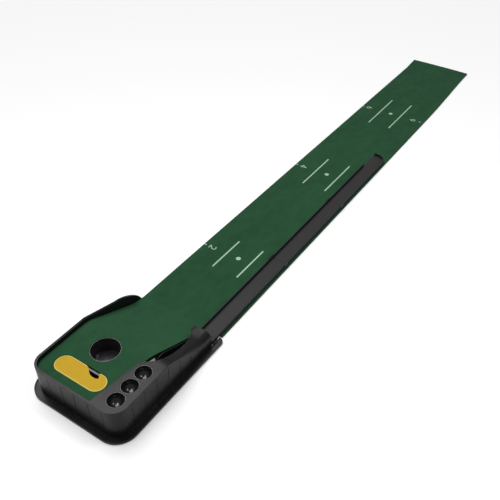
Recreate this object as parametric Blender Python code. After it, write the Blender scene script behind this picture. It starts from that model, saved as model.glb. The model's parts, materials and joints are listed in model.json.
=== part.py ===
"""Practice putting mat with a raised cup base and a three-piece ball return trough.

Metres.  +Z is up, +Y runs from the cup end to the far end of the mat and +X is
the side that carries the return trough.  The origin is the centre of the
footprint, on the floor.  "Run" means the distance forward from the back edge
of the base.
"""

import math

import bmesh
import bpy
import mathutils

# Overall size
TOTAL_LENGTH = 2.590
BASE_WIDTH = 0.333
BASE_LENGTH = 0.430
RIM_HEIGHT = 0.100

# Clearances and tool allowances
GAP = 0.0003
LOOSE_GAP = 0.0006
PAST = 0.010
NUDGE = 0.0002
TUCK = 0.0010

# The ball everything is sized for
BALL_DIAMETER = 0.0427

# Housing walls
FLANGE_WIDTH = 0.018
FLANGE_BOTTOM = 0.0015
FLANGE_THICKNESS = 0.0050
BEAD_WIDTH = 0.0035
BEAD_RISE = 0.0018
WALL_THICKNESS = 0.0026
RIM_WIDTH = 0.0065
BACK_CORNER_RADIUS = 0.042
FRONT_CORNER_RADIUS = 0.014
LEDGE_WIDTH = 0.0065
LEDGE_THICKNESS = 0.0030
SHOULDER_THICKNESS = 0.0028
SKIRT_THICKNESS = 0.0026
EDGE_ROUND = 0.0006
RIM_LEVEL_RUN = 0.215
RIM_FRONT_LENGTH = 0.100
RIM_SLOPE_DROP = 0.0310
SHOULDER_FALL_MARGIN = 0.0176

# Hood over the end of the ball channel
HOOD_LENGTH = 0.030
HOOD_CLEARANCE = 0.0008
HOOD_INNER_ROUND = 0.0130
HOOD_OUTER_ROUND = 0.0220

# Eye-shaped opening over the ball channel
EYE_REST_OVERLAP = 0.0014
EYE_RISE = 0.0640
EYE_WIDTH_SHARE = 0.78
EYE_TO_HOOD_END = 0.0130

# Wall grooves
GROOVE_PITCH = 0.0455
GROOVE_WIDTH = 0.0018
GROOVE_DEPTH = 0.0009
GROOVE_TOP_MARGIN = 0.0065
GROOVE_BOTTOM_MARGIN = 0.0004
SIDE_GROOVE_COUNT = 8
BACK_GROOVE_COUNT = 5
FIRST_SIDE_GROOVE_RUN = 0.0745
BACK_GROOVE_SHIFT = 0.0125

# Border between the turf and the shoulder
BORDER_BACK_INSET = 0.0267
BORDER_SHOULDER_INSET = 0.0065
BORDER_REST_OVERLAP = 0.0094
BORDER_CURVE = 0.0670

# Deck and ramp
DECK_DROP = 0.0180
DECK_THICKNESS = 0.0026
DECK_TOE_TOP = 0.0034
RAMP_CUP_MARGIN = 0.0260
RAMP_END_MARGIN = 0.006
RAMP_EASE = 0.20
RIB_THICKNESS = 0.0022
RIB_BOTTOM = 0.0020
RIB_START_RUN = 0.252
RIB_COUNT = 4
RIB_SIDE_MARGIN = 0.042

# Mat
MAT_SIDE_OVERHANG = 0.0041
TAPE_THICKNESS = 0.0005
BACKING_THICKNESS = 0.0016
TURF_THICKNESS = 0.0026
TOE_DROP_RUN = 0.014
TAPE_WIDTH = 0.015
TAPE_BACK_MARGIN = 0.0084
TAPE_BUNKER_MARGIN = 0.0050
TAPE_CUP_MARGIN = 0.0130
TAPE_END_MARGIN = 0.039
TAPE_SIDE_MARGIN = 0.024

# Cup
CUP_SHIFT = 0.0016
CUP_BUNKER_MARGIN = 0.0255
CUP_BORE = 0.0800
CUP_WALL = 0.0016
CUP_RIM_DROP = 0.0008
CUP_FLOOR_FALL = 0.0085
CUP_FLOOR_THICKNESS = 0.0020
CUP_DOOR_DROP = 0.0050
CUP_DOOR_SILL = 0.0012
CUP_EAR_ANGLES = (100, 180, 260)

# Return chute
CHANNEL_CLEARANCE = 0.0067
CHUTE_HEADROOM = 0.0052
CHUTE_WALL = 0.0018
CHUTE_SIDE_GAP = 0.0018
CHUTE_STEP = 0.0030
CHUTE_CORNER_SHARE = 0.65
CHUTE_EXIT_STEP = 0.0005
CHUTE_DECK_GAP = 0.0094
CHUTE_BACK_MARGIN = 0.0055
CHUTE_EAR_SHARE = 0.55

# Ball rests
REST_SIDE_MARGIN = 0.0120
REST_BACK_MARGIN = 0.0101
REST_SPACING = 0.0050
REST_COUNT = 3
REST_BOWL_CLEARANCE = 0.00115
REST_BOWL_WALL = 0.0014
REST_BOWL_SINK = 0.0015
REST_PLATE_THICKNESS = 0.0018
REST_PLATE_SIDE = 0.0011
REST_PLATE_END = 0.0025
REST_PLATE_CORNER = 0.006

# Bunker insert and the tray below it
BUNKER_LEFT_MARGIN = 0.0324
BUNKER_RIGHT_MARGIN = 0.0128
BUNKER_RUN = 0.0795
BUNKER_WIDTH = 0.0540
BUNKER_SINK = 0.0008
BUNKER_DISH_DEPTH = 0.0006
BUNKER_DISH_MARGIN = 0.0030
NOTCH_SHIFT = 0.0510
NOTCH_WIDTH = 0.0560
NOTCH_DEPTH = 0.0190
TRAY_LIP = 0.0050
TRAY_LIP_THICKNESS = 0.0012
TRAY_DEPTH = 0.0240
TRAY_WALL = 0.0014
TRAY_FLOOR = 0.0016

# Trough sections
SECTION_NAMES = ("near", "middle", "far")
SECTION_PITCH = 0.3900
TROUGH_START_MARGIN = 0.032
SOCKET_LENGTH = 0.0220
TROUGH_SIDE_CLEARANCE = 0.0015
TROUGH_WALL = 0.0021
TROUGH_FLOOR = 0.0016
TROUGH_WALL_HEIGHT = 0.0090
SOCKET_RISE = 0.0019
SOCKET_WALL = 0.0019
SOCKET_CLEARANCE = 0.0004
TONGUE_GAP = 0.0008
HOOK_LENGTH = 0.0455
HOOK_SWEEP = 108
HOOK_CENTRE_SHARE = 0.55
HOOK_OPENING = 0.1000
GRIP_THICKNESS = 0.0007
GRIP_LENGTH = 0.0160
GRIP_WIDTH = 0.0360
GRIP_MARGIN = 0.0010

# Fasteners and feet
SCREW_SHANK = 0.0030
SCREW_HEAD = 0.0062
SCREW_HEAD_HEIGHT = 0.0019
SCREW_HOLE = 0.0038
SCREW_TIP = 0.0010
DECK_SCREW_LENGTH = 0.0075
CHUTE_SCREW_LENGTH = 0.0085
BOSS_DIAMETER = 0.0085
BOSS_DROP = 0.0090
EAR_THICKNESS = 0.0020
EAR_WIDTH = 0.0110
EAR_REACH = 0.0150
FOOT_DIAMETER = 0.0120
FOOT_THICKNESS = 0.0012
FOOT_BACK_RUN = 0.095
FOOT_FRONT_MARGIN = 0.025
FOOT_BACK_X = 0.0850

# Longest step that still counts as part of a curve
CURVE_STEP = 0.012

# Plan positions
HALF_BASE = BASE_WIDTH / 2
BACK_Y = -TOTAL_LENGTH / 2
WALL_X = HALF_BASE - FLANGE_WIDTH
MAT_LEFT_X = -WALL_X + RIM_WIDTH + LOOSE_GAP
MAT_RIGHT_X = WALL_X + MAT_SIDE_OVERHANG
CHANNEL_HALF = (BALL_DIAMETER + CHANNEL_CLEARANCE) / 2
CHUTE_HALF = CHANNEL_HALF + CHUTE_WALL
LANE_X = WALL_X - WALL_THICKNESS - CHUTE_SIDE_GAP - CHUTE_HALF
BORDER_FRONT_X = LANE_X - CHUTE_HALF - CHUTE_SIDE_GAP - SKIRT_THICKNESS
BORDER_SHOULDER_X = BORDER_FRONT_X - BORDER_SHOULDER_INSET
BORDER_BACK_X = BORDER_FRONT_X - BORDER_BACK_INSET
CUP_X = (MAT_LEFT_X + BORDER_SHOULDER_X) / 2 + CUP_SHIFT
REST_BOWL_RADIUS = BALL_DIAMETER / 2 + REST_BOWL_CLEARANCE
REST_BOWL_OUTER = REST_BOWL_RADIUS + REST_BOWL_WALL
REST_PITCH = 2 * REST_BOWL_RADIUS + REST_SPACING
REST_X = WALL_X - REST_SIDE_MARGIN - REST_PLATE_SIDE - REST_BOWL_OUTER
TROUGH_HALF = CHUTE_HALF + TROUGH_SIDE_CLEARANCE
SOCKET_HALF = TROUGH_HALF + SOCKET_CLEARANCE
CHUTE_EAR_X = CUP_X + CUP_BORE / 2 + (LANE_X - CHUTE_HALF - CUP_X - CUP_BORE / 2) * CHUTE_EAR_SHARE

# Runs
DECK_BACK_RUN = FLANGE_WIDTH + RIM_WIDTH + LOOSE_GAP
REST_FIRST_RUN = FLANGE_WIDTH + RIM_WIDTH + REST_BACK_MARGIN + REST_PLATE_END + REST_BOWL_OUTER
REST_END_RUN = REST_FIRST_RUN + REST_PITCH * (REST_COUNT - 1) + REST_BOWL_OUTER + REST_PLATE_END
SHOULDER_FALL_RUN = REST_END_RUN + SHOULDER_FALL_MARGIN
BORDER_SHOULDER_RUN = REST_END_RUN - BORDER_REST_OVERLAP
BORDER_FRONT_RUN = BORDER_SHOULDER_RUN + BORDER_CURVE
EYE_START_RUN = REST_END_RUN - EYE_REST_OVERLAP
EYE_WIDEST_RUN = EYE_START_RUN + EYE_RISE
BUNKER_FRONT_RUN = BUNKER_RUN + BUNKER_WIDTH / 2
CUP_RUN = BUNKER_FRONT_RUN + CUP_BUNKER_MARGIN + CUP_BORE / 2
CHUTE_BACK_RUN = CUP_RUN - CHUTE_HALF - CHUTE_BACK_MARGIN
RAMP_START_RUN = CUP_RUN + RAMP_CUP_MARGIN
RAMP_END_RUN = BASE_LENGTH - RAMP_END_MARGIN
MAT_NOTCH_RUN = RAMP_END_RUN + TOE_DROP_RUN
MAT_FLOOR_RUN = MAT_NOTCH_RUN + 2 * GAP
RIM_SLOPE_RUN = BASE_LENGTH - RIM_FRONT_LENGTH
TROUGH_START_RUN = BASE_LENGTH - TROUGH_START_MARGIN
HOOD_END_RUN = TROUGH_START_RUN - 2 * EAR_THICKNESS
HOOD_START_RUN = HOOD_END_RUN - HOOD_LENGTH
EYE_END_RUN = HOOD_END_RUN - EYE_TO_HOOD_END
CHUTE_EXIT_RUN = TROUGH_START_RUN + SOCKET_LENGTH - TUCK

# Heights
DECK_TOP = RIM_HEIGHT - DECK_DROP
DECK_UNDERSIDE = DECK_TOP - DECK_THICKNESS
FLANGE_TOP = FLANGE_BOTTOM + FLANGE_THICKNESS
MAT_LIFT = TAPE_THICKNESS + 2 * GAP
TURF_BOTTOM_OFFSET = BACKING_THICKNESS + GAP
MAT_THICKNESS = TURF_BOTTOM_OFFSET + TURF_THICKNESS
SOCKET_BOTTOM = MAT_THICKNESS + GRIP_THICKNESS + 2 * GAP
LANE_FLOOR_BOTTOM = SOCKET_BOTTOM + TROUGH_FLOOR + GAP
LANE_FLOOR_TOP = LANE_FLOOR_BOTTOM + TROUGH_FLOOR
TROUGH_TOP = LANE_FLOOR_TOP + TROUGH_WALL_HEIGHT
CUP_FLOOR_LOW = DECK_UNDERSIDE - BALL_DIAMETER - CHUTE_HEADROOM
CUP_FLOOR_HIGH = CUP_FLOOR_LOW + CUP_FLOOR_FALL
CUP_DOOR_TOP = DECK_TOP - CUP_DOOR_DROP
CHUTE_TOP = DECK_UNDERSIDE - CHUTE_DECK_GAP
CHUTE_START_FLOOR = CUP_FLOOR_LOW - CHUTE_STEP
CHUTE_EXIT_FLOOR = LANE_FLOOR_TOP + CHUTE_EXIT_STEP
CHUTE_CORNER_FLOOR = CHUTE_EXIT_FLOOR + CHUTE_CORNER_SHARE * (CHUTE_START_FLOOR - CHUTE_EXIT_FLOOR)
EAR_TOP = DECK_UNDERSIDE - BOSS_DROP - GAP
HOOD_TOP = CHUTE_EXIT_FLOOR + BALL_DIAMETER + HOOD_CLEARANCE + SHOULDER_THICKNESS


def run_to_y(run):
    """World Y of a distance forward from the back edge of the base."""
    return BACK_Y + run


# ---------------------------------------------------------------- heights

def eased_fall(value):
    """Straight fall from 1 to 0 over the unit interval with rounded ends."""
    value = min(max(value, 0.0), 1.0)
    slope = 1.0 / (1.0 - RAMP_EASE)
    if value < RAMP_EASE:
        return 1.0 - slope * value * value / (2 * RAMP_EASE)
    if value > 1.0 - RAMP_EASE:
        return slope * (1.0 - value) ** 2 / (2 * RAMP_EASE)
    return 1.0 - slope * (value - RAMP_EASE / 2)


def deck_top(run):
    """Height of the deck's upper face."""
    fall = eased_fall((run - RAMP_START_RUN) / (RAMP_END_RUN - RAMP_START_RUN))
    return DECK_TOE_TOP + (DECK_TOP - DECK_TOE_TOP) * fall


def deck_underside(run):
    """Height of the deck's lower face."""
    return deck_top(run) - DECK_THICKNESS


def mat_underside(run):
    """Height of the mat's lower face, on the deck and then on the floor."""
    lift = DECK_TOE_TOP + MAT_LIFT
    drop = eased_fall((run - RAMP_END_RUN) / TOE_DROP_RUN)
    return deck_top(run) - DECK_TOE_TOP + lift * drop


def mat_surface(run):
    """Height of the turf's playing surface."""
    return mat_underside(run) + MAT_THICKNESS


def rim_top(run):
    """Height of the left rim: level at the cup, then falling to the flange."""
    slope_height = RIM_HEIGHT - RIM_SLOPE_DROP
    if run <= RIM_LEVEL_RUN:
        return RIM_HEIGHT
    if run <= RIM_SLOPE_RUN:
        share = (run - RIM_LEVEL_RUN) / (RIM_SLOPE_RUN - RIM_LEVEL_RUN)
        return RIM_HEIGHT + (slope_height - RIM_HEIGHT) * share
    share = min((run - RIM_SLOPE_RUN) / (BASE_LENGTH - RIM_SLOPE_RUN), 1.0)
    return FLANGE_TOP + (slope_height - FLANGE_TOP) * (1.0 - share ** 1.5) ** 0.72


def fall_share(run):
    """How far along its fall the shoulder is, from 0 to 1."""
    share = (run - SHOULDER_FALL_RUN) / (HOOD_START_RUN - SHOULDER_FALL_RUN)
    return min(max(share, 0.0), 1.0)


def shoulder_top(run):
    """Height of the shoulder's crown, level and then down to the hood."""
    return HOOD_TOP + (RIM_HEIGHT - HOOD_TOP) * eased_fall(fall_share(run))


def shoulder_surface(run, left, right, depth):
    """Rounded top of the shoulder as (x, z) points, at a depth below its skin."""
    share = fall_share(run)
    grown = share * share * (3 - 2 * share)
    inner = max(EDGE_ROUND + (HOOD_INNER_ROUND - EDGE_ROUND) * grown - depth, EDGE_ROUND)
    outer = max(EDGE_ROUND + (HOOD_OUTER_ROUND - EDGE_ROUND) * grown - depth, EDGE_ROUND)
    crown = shoulder_top(run) - depth
    points = arc_points(left + inner, crown - inner, inner, 180, 90, 5)
    return points + arc_points(right - outer, crown - outer, outer, 90, 0, 7)


def border_x(run):
    """Inner face of the housing along the right edge of the turf."""
    if run <= BORDER_SHOULDER_RUN:
        share = (run - FLANGE_WIDTH) / (BORDER_SHOULDER_RUN - FLANGE_WIDTH)
        return BORDER_BACK_X + (BORDER_SHOULDER_X - BORDER_BACK_X) * share
    if run <= BORDER_FRONT_RUN:
        share = (run - BORDER_SHOULDER_RUN) / (BORDER_FRONT_RUN - BORDER_SHOULDER_RUN)
        return BORDER_SHOULDER_X + (BORDER_FRONT_X - BORDER_SHOULDER_X) * math.sin(share * math.pi / 2)
    return BORDER_FRONT_X


def corner_inset(distance, radius):
    """How far a rounded corner pulls a side in, at a distance from the end."""
    if distance >= radius:
        return 0.0
    reach = radius - max(distance, 0.0)
    return radius - math.sqrt(max(radius * radius - reach * reach, 0.0))


# ---------------------------------------------------------------- materials

def make_material(name, color, roughness, metallic=0.0, coat=0.0):
    """A Principled material."""
    material = bpy.data.materials.new(name)
    material.use_nodes = True
    shader = material.node_tree.nodes["Principled BSDF"]
    shader.inputs["Base Color"].default_value = (*color, 1.0)
    shader.inputs["Roughness"].default_value = roughness
    shader.inputs["Metallic"].default_value = metallic
    shader.inputs["Coat Weight"].default_value = coat
    material.diffuse_color = (*color, 1.0)
    return material


def make_materials():
    """One material for each kind of piece, by the start of its name."""
    black = (0.016, 0.016, 0.017)
    return {
        "base_housing": make_material("housing_plastic", black, 0.42),
        "ramp_deck": make_material("deck_plastic", (0.020, 0.020, 0.021), 0.55),
        "ball_rest_tray": make_material("rest_gloss_plastic", (0.012, 0.012, 0.013), 0.16, coat=0.5),
        "cup_liner": make_material("cup_gloss_plastic", (0.018, 0.018, 0.020), 0.22, coat=0.3),
        "return_chute": make_material("chute_plastic", (0.018, 0.018, 0.019), 0.45),
        "bunker_tray": make_material("tray_gloss_plastic", (0.014, 0.015, 0.018), 0.20, coat=0.3),
        "bunker_insert": make_material("bunker_plastic", (0.56, 0.37, 0.030), 0.45),
        "deck_screw": make_material("deck_screw_steel", (0.50, 0.50, 0.52), 0.35, metallic=1.0),
        "chute_screw": make_material("chute_screw_steel", (0.45, 0.45, 0.47), 0.38, metallic=1.0),
        "rubber_foot": make_material("foot_rubber", (0.022, 0.022, 0.022), 0.80),
        "putting_turf": make_material("turf_fabric", (0.022, 0.085, 0.036), 0.95),
        "turf_backing": make_material("backing_rubber", (0.035, 0.035, 0.035), 0.90),
        "mat_tape": make_material("tape_fabric", (0.46, 0.46, 0.42), 0.85),
        "trough_near": make_material("trough_near_plastic", (0.040, 0.038, 0.040), 0.48),
        "trough_middle": make_material("trough_middle_plastic", (0.042, 0.040, 0.042), 0.48),
        "trough_far": make_material("trough_far_plastic", (0.044, 0.042, 0.044), 0.48),
        "grip": make_material("grip_fabric", (0.030, 0.030, 0.032), 0.90),
    }


# ---------------------------------------------------------------- solids

def clear_scene():
    """Remove everything the start-up file holds."""
    for item in list(bpy.data.objects):
        bpy.data.objects.remove(item, do_unlink=True)


def link_mesh(name, vertices, faces, smooth_faces=()):
    """A new object from a closed list of faces, turned outward."""
    mesh = bpy.data.meshes.new(name)
    mesh.from_pydata(vertices, [], faces)
    for index in smooth_faces:
        mesh.polygons[index].use_smooth = True
    edit = bmesh.new()
    edit.from_mesh(mesh)
    bmesh.ops.recalc_face_normals(edit, faces=edit.faces)
    edit.to_mesh(mesh)
    edit.free()
    item = bpy.data.objects.new(name, mesh)
    bpy.context.scene.collection.objects.link(item)
    return item


def side_directions(outline):
    """Heading of each side of a closed outline."""
    count = len(outline)
    headings = []
    for index in range(count):
        x0, y0 = outline[index]
        x1, y1 = outline[(index + 1) % count]
        headings.append(math.atan2(y1 - y0, x1 - x0))
    return headings


def curved_sides(outline):
    """Which sides of an outline belong to a curve."""
    headings = side_directions(outline)
    count = len(headings)
    curved = []
    for index in range(count):
        turns = []
        for other in (index - 1, (index + 1) % count):
            turn = headings[index] - headings[other]
            turns.append(abs(math.atan2(math.sin(turn), math.cos(turn))))
        x0, y0 = outline[index]
        x1, y1 = outline[(index + 1) % count]
        short = math.hypot(x1 - x0, y1 - y0) < CURVE_STEP
        curved.append(short and any(0.01 < turn < 0.6 for turn in turns))
    return curved


def prism(name, outline, bottom, top):
    """An upright solid over a plan outline."""
    count = len(outline)
    vertices = [(x, y, bottom) for x, y in outline] + [(x, y, top) for x, y in outline]
    faces = [tuple(range(count))[::-1], tuple(range(count, 2 * count))]
    smooth = []
    for index, curved in enumerate(curved_sides(outline)):
        after = (index + 1) % count
        if curved:
            smooth.append(len(faces))
        faces.append((index, after, after + count, index + count))
    return link_mesh(name, vertices, faces, smooth)


def side_prism(name, outline, left, right):
    """A solid over a side outline of (run, height), drawn out along X."""
    count = len(outline)
    vertices = [(left, run_to_y(run), z) for run, z in outline]
    vertices += [(right, run_to_y(run), z) for run, z in outline]
    faces = [tuple(range(count)), tuple(range(count, 2 * count))[::-1]]
    smooth = []
    for index, curved in enumerate(curved_sides(outline)):
        after = (index + 1) % count
        if curved:
            smooth.append(len(faces))
        faces.append((index, after, after + count, index + count))
    return link_mesh(name, vertices, faces, smooth)


def strip_solid(name, runs, left_of, right_of, bottom_of, top_of, smooth=True):
    """A solid along Y whose four edges are functions of the run."""
    vertices = []
    for run in runs:
        y = run_to_y(run)
        left, right = left_of(run), right_of(run)
        bottom, top = bottom_of(run), top_of(run)
        vertices += [(left, y, bottom), (right, y, bottom), (right, y, top), (left, y, top)]
    faces = [(3, 2, 1, 0)]
    smooth_faces = []
    for step in range(len(runs) - 1):
        base = 4 * step
        for side in range(4):
            after = (side + 1) % 4
            if smooth:
                smooth_faces.append(len(faces))
            faces.append((base + side, base + after, base + 4 + after, base + 4 + side))
    last = 4 * (len(runs) - 1)
    faces.append((last, last + 1, last + 2, last + 3))
    item = link_mesh(name, vertices, faces, smooth_faces)
    sharpen(item, 0.5)
    return item


def loft(name, rings):
    """A solid through closed (x, z) rings, each at its own run."""
    count = len(rings[0][1])
    vertices = []
    for run, ring in rings:
        vertices += [(x, run_to_y(run), z) for x, z in ring]
    faces = [tuple(range(count))[::-1]]
    for step in range(len(rings) - 1):
        for index in range(count):
            after = (index + 1) % count
            base = step * count
            faces.append((base + index, base + after, base + count + after, base + count + index))
    last = (len(rings) - 1) * count
    faces.append(tuple(range(last, last + count)))
    item = link_mesh(name, vertices, faces, range(1, len(faces) - 1))
    sharpen(item, 0.5)
    return item


def cylinder(name, x, y, bottom, top, diameter, segments=32):
    """An upright round bar."""
    radius = diameter / 2
    outline = []
    for index in range(segments):
        angle = 2 * math.pi * index / segments
        outline.append((x + radius * math.cos(angle), y + radius * math.sin(angle)))
    return prism(name, outline, bottom, top)


def box(name, left, right, near_run, far_run, bottom, top):
    """A plain block between two runs."""
    outline = [
        (left, run_to_y(near_run)),
        (right, run_to_y(near_run)),
        (right, run_to_y(far_run)),
        (left, run_to_y(far_run)),
    ]
    return prism(name, outline, bottom, top)


def revolve(name, profile, x, y, segments=48):
    """A closed ring of (radius, height) points turned about an upright axis."""
    count = len(profile)
    vertices = []
    for step in range(segments):
        angle = 2 * math.pi * step / segments
        for radius, z in profile:
            vertices.append((x + radius * math.cos(angle), y + radius * math.sin(angle), z))
    faces = []
    for step in range(segments):
        following = (step + 1) % segments
        for index in range(count):
            after = (index + 1) % count
            faces.append((
                step * count + index,
                following * count + index,
                following * count + after,
                step * count + after,
            ))
    item = link_mesh(name, vertices, faces, range(len(faces)))
    weld_axis(item)
    sharpen(item, 0.6)
    return item


def weld_axis(item):
    """Merge the points that meet on the axis and drop empty faces."""
    edit = bmesh.new()
    edit.from_mesh(item.data)
    bmesh.ops.remove_doubles(edit, verts=edit.verts, dist=0.000005)
    bmesh.ops.dissolve_degenerate(edit, dist=0.000005, edges=edit.edges)
    bmesh.ops.recalc_face_normals(edit, faces=edit.faces)
    edit.to_mesh(item.data)
    edit.free()


def sharpen(item, angle):
    """Keep corners steeper than an angle crisp on a smooth mesh."""
    item.data.set_sharp_from_angle(angle=angle)


def combine(target, tool, operation):
    """Join or cut one solid by another with a live modifier."""
    modifier = target.modifiers.new(tool.name, "BOOLEAN")
    modifier.operation = operation
    modifier.solver = "EXACT"
    modifier.object = tool
    tool.hide_render = True
    tool.hide_viewport = False
    tool.display_type = "WIRE"


def cut(target, *tools):
    """Cut away each tool."""
    for tool in tools:
        combine(target, tool, "DIFFERENCE")


def join(target, *tools):
    """Add each tool."""
    for tool in tools:
        combine(target, tool, "UNION")


def gather(name, items):
    """One object that holds several separate solids."""
    edit = bmesh.new()
    for item in items:
        edit.from_mesh(item.data)
    mesh = bpy.data.meshes.new(name)
    edit.to_mesh(mesh)
    edit.free()
    for item in items:
        bpy.data.objects.remove(item, do_unlink=True)
    group = bpy.data.objects.new(name, mesh)
    bpy.context.scene.collection.objects.link(group)
    return group


def set_pivot(item, x, y, z):
    """Hang a moving piece on an empty that stands on its joint."""
    pivot = bpy.data.objects.new(item.name + "_pivot", None)
    bpy.context.scene.collection.objects.link(pivot)
    pivot.location = (x, y, z)
    pivot.empty_display_size = PAST
    item.parent = pivot
    item.matrix_parent_inverse = mathutils.Matrix.Translation((-x, -y, -z))


def steps(start, stop, count):
    """Evenly spaced values with both ends."""
    return [start + (stop - start) * index / count for index in range(count + 1)]


# ---------------------------------------------------------------- outlines

def arc_points(x, y, radius, start, stop, count):
    """Points on an arc, angles in degrees."""
    points = []
    for angle in steps(start, stop, count):
        turn = math.radians(angle)
        points.append((x + radius * math.cos(turn), y + radius * math.sin(turn)))
    return points


def base_outline(inset, front_run, front_radius=0.0):
    """Plan of the base pulled in from the flange's edge."""
    right = HALF_BASE - inset
    left = -right
    back = run_to_y(inset)
    front = run_to_y(front_run)
    radius = BACK_CORNER_RADIUS + FLANGE_WIDTH - inset
    points = arc_points(left + radius, back + radius, radius, 180, 270, 14)
    points += arc_points(right - radius, back + radius, radius, 270, 360, 14)
    if front_radius:
        corner = front_radius
        points += arc_points(right - corner, front - corner, corner, 0, 90, 6)
        points += arc_points(left + corner, front - corner, corner, 90, 180, 6)
    else:
        points += [(right, front), (left, front)]
    return points


def stadium(x, run, length, width, count=16):
    """A slot outline with round ends."""
    radius = width / 2
    reach = length / 2 - radius
    y = run_to_y(run)
    points = arc_points(x + reach, y, radius, -90, 90, count)
    points += arc_points(x - reach, y, radius, 90, 270, count)
    return points


def eye_reach(run):
    """How far the eye opens at a run, as a share of its greatest width."""
    if run < EYE_WIDEST_RUN:
        share = (run - EYE_START_RUN) / (EYE_WIDEST_RUN - EYE_START_RUN)
        return 1.0 - (1.0 - share) ** 2.5
    share = (run - EYE_WIDEST_RUN) / (EYE_END_RUN - EYE_WIDEST_RUN)
    return max(1.0 - share ** 2.2, 0.0) ** 0.8


def eye_outline():
    """Plan of the opening over the ball channel, beside the turf."""
    width = EYE_WIDTH_SHARE * 2 * CHANNEL_HALF
    inner = []
    for run in steps(EYE_START_RUN, EYE_END_RUN, 12):
        inner.append((border_x(run) - 2 * NUDGE, run_to_y(run)))
    outer = []
    runs = steps(EYE_END_RUN, EYE_WIDEST_RUN, 14)[1:] + steps(EYE_WIDEST_RUN, EYE_START_RUN, 7)[1:-1]
    for run in runs:
        outer.append((BORDER_FRONT_X + width * eye_reach(run), run_to_y(run)))
    return inner + outer


def between(start, stations, stop):
    """A start, the stations well inside, and a stop."""
    return [start] + [run for run in stations if start + TUCK < run < stop - TUCK] + [stop]


def corner_runs():
    """Stations round the back corners."""
    return [DECK_BACK_RUN + BACK_CORNER_RADIUS * share for share in (-0.05, 0.08, 0.2, 0.35, 0.6, 0.9)]


def ramp_runs(start, stop):
    """Stations close together round the back corners and where the ramp bends."""
    return between(start, corner_runs() + steps(BORDER_SHOULDER_RUN, MAT_NOTCH_RUN, 34), stop)


# ---------------------------------------------------------------- housing

def deck_left(inset, back_run):
    """Left edge of the deck area with its rounded back corner."""
    radius = BACK_CORNER_RADIUS - RIM_WIDTH - inset

    def edge(run):
        side = -WALL_X + RIM_WIDTH + inset
        return side + corner_inset(run - back_run, radius)

    return edge


def make_flange():
    """Floor flange with its raised bead."""
    outline = base_outline(0.0, BASE_LENGTH, FRONT_CORNER_RADIUS)
    flange = prism("flange_block", outline, FLANGE_BOTTOM, FLANGE_TOP + BEAD_RISE)
    inside = base_outline(BEAD_WIDTH, BASE_LENGTH - BEAD_WIDTH, FRONT_CORNER_RADIUS - BEAD_WIDTH)
    cut(flange, prism("flange_hollow", inside, FLANGE_TOP, FLANGE_TOP + PAST))
    return flange


def rim_profile():
    """Side outline of the space above the falling left rim."""
    points = [(RIM_LEVEL_RUN, RIM_HEIGHT)]
    points += [(run, rim_top(run)) for run in steps(RIM_SLOPE_RUN, BASE_LENGTH, 15)]
    points += [(BASE_LENGTH + PAST, FLANGE_TOP), (BASE_LENGTH + PAST, RIM_HEIGHT + PAST)]
    return points + [(RIM_LEVEL_RUN, RIM_HEIGHT + PAST)]


def make_wall_block():
    """Outer body of the housing with its left side trimmed to the rim."""
    outline = base_outline(FLANGE_WIDTH, BASE_LENGTH - NUDGE)
    block = prism("base_housing", outline, FLANGE_BOTTOM, RIM_HEIGHT)
    cut(block, side_prism("rim_trim", rim_profile(), -BASE_WIDTH, 0.0))
    return block


def groove_bar(x, run, side, top):
    """One upright groove in a side wall."""
    left, right = sorted((x - side * GROOVE_DEPTH, x + side * TUCK))
    near, far = run - GROOVE_WIDTH / 2, run + GROOVE_WIDTH / 2
    return box("bar", left, right, near, far, FLANGE_TOP + GROOVE_BOTTOM_MARGIN, top - GROOVE_TOP_MARGIN)


def hood_side_top(run):
    """Height at which the right wall becomes upright."""
    return shoulder_surface(run, border_x(run), WALL_X, 0.0)[-1][1]


def groove_tool():
    """Narrow upright grooves that divide the walls into panels."""
    bars = []
    for index in range(SIDE_GROOVE_COUNT):
        run = FIRST_SIDE_GROOVE_RUN + GROOVE_PITCH * index
        if run < BASE_LENGTH - FRONT_CORNER_RADIUS:
            bars.append(groove_bar(-WALL_X, run, -1, rim_top(run)))
        if run < HOOD_END_RUN - PAST:
            bars.append(groove_bar(WALL_X, run, 1, hood_side_top(run) + GROOVE_TOP_MARGIN / 2))
    middle = (BACK_GROOVE_COUNT - 1) / 2
    for index in range(BACK_GROOVE_COUNT):
        x = BACK_GROOVE_SHIFT + GROOVE_PITCH * (index - middle)
        bars.append(box(
            "bar", x - GROOVE_WIDTH / 2, x + GROOVE_WIDTH / 2, FLANGE_WIDTH - TUCK, FLANGE_WIDTH + GROOVE_DEPTH,
            FLANGE_TOP + GROOVE_BOTTOM_MARGIN, RIM_HEIGHT - GROOVE_TOP_MARGIN,
        ))
    return gather("groove_bars", bars)


def cut_deck_area(housing):
    """Open the housing above and through the deck's ledge."""
    back = DECK_BACK_RUN - LOOSE_GAP
    above = strip_solid(
        "deck_space",
        ramp_runs(back, BASE_LENGTH + PAST),
        deck_left(0.0, back),
        border_x,
        lambda run: deck_underside(run) - GAP,
        lambda run: RIM_HEIGHT + PAST,
        smooth=False,
    )
    inner_back = back + LEDGE_WIDTH
    through = strip_solid(
        "ledge_opening",
        ramp_runs(inner_back, BASE_LENGTH + PAST + NUDGE),
        deck_left(LEDGE_WIDTH, inner_back),
        lambda run: border_x(run) - LEDGE_WIDTH,
        lambda run: -PAST,
        lambda run: RIM_HEIGHT + 2 * PAST,
        smooth=False,
    )
    cut(housing, above, through)


def inner_side(run):
    """Half width inside the housing's walls."""
    back = FLANGE_WIDTH + WALL_THICKNESS
    return WALL_X - WALL_THICKNESS - corner_inset(run - back, BACK_CORNER_RADIUS - WALL_THICKNESS)


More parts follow.
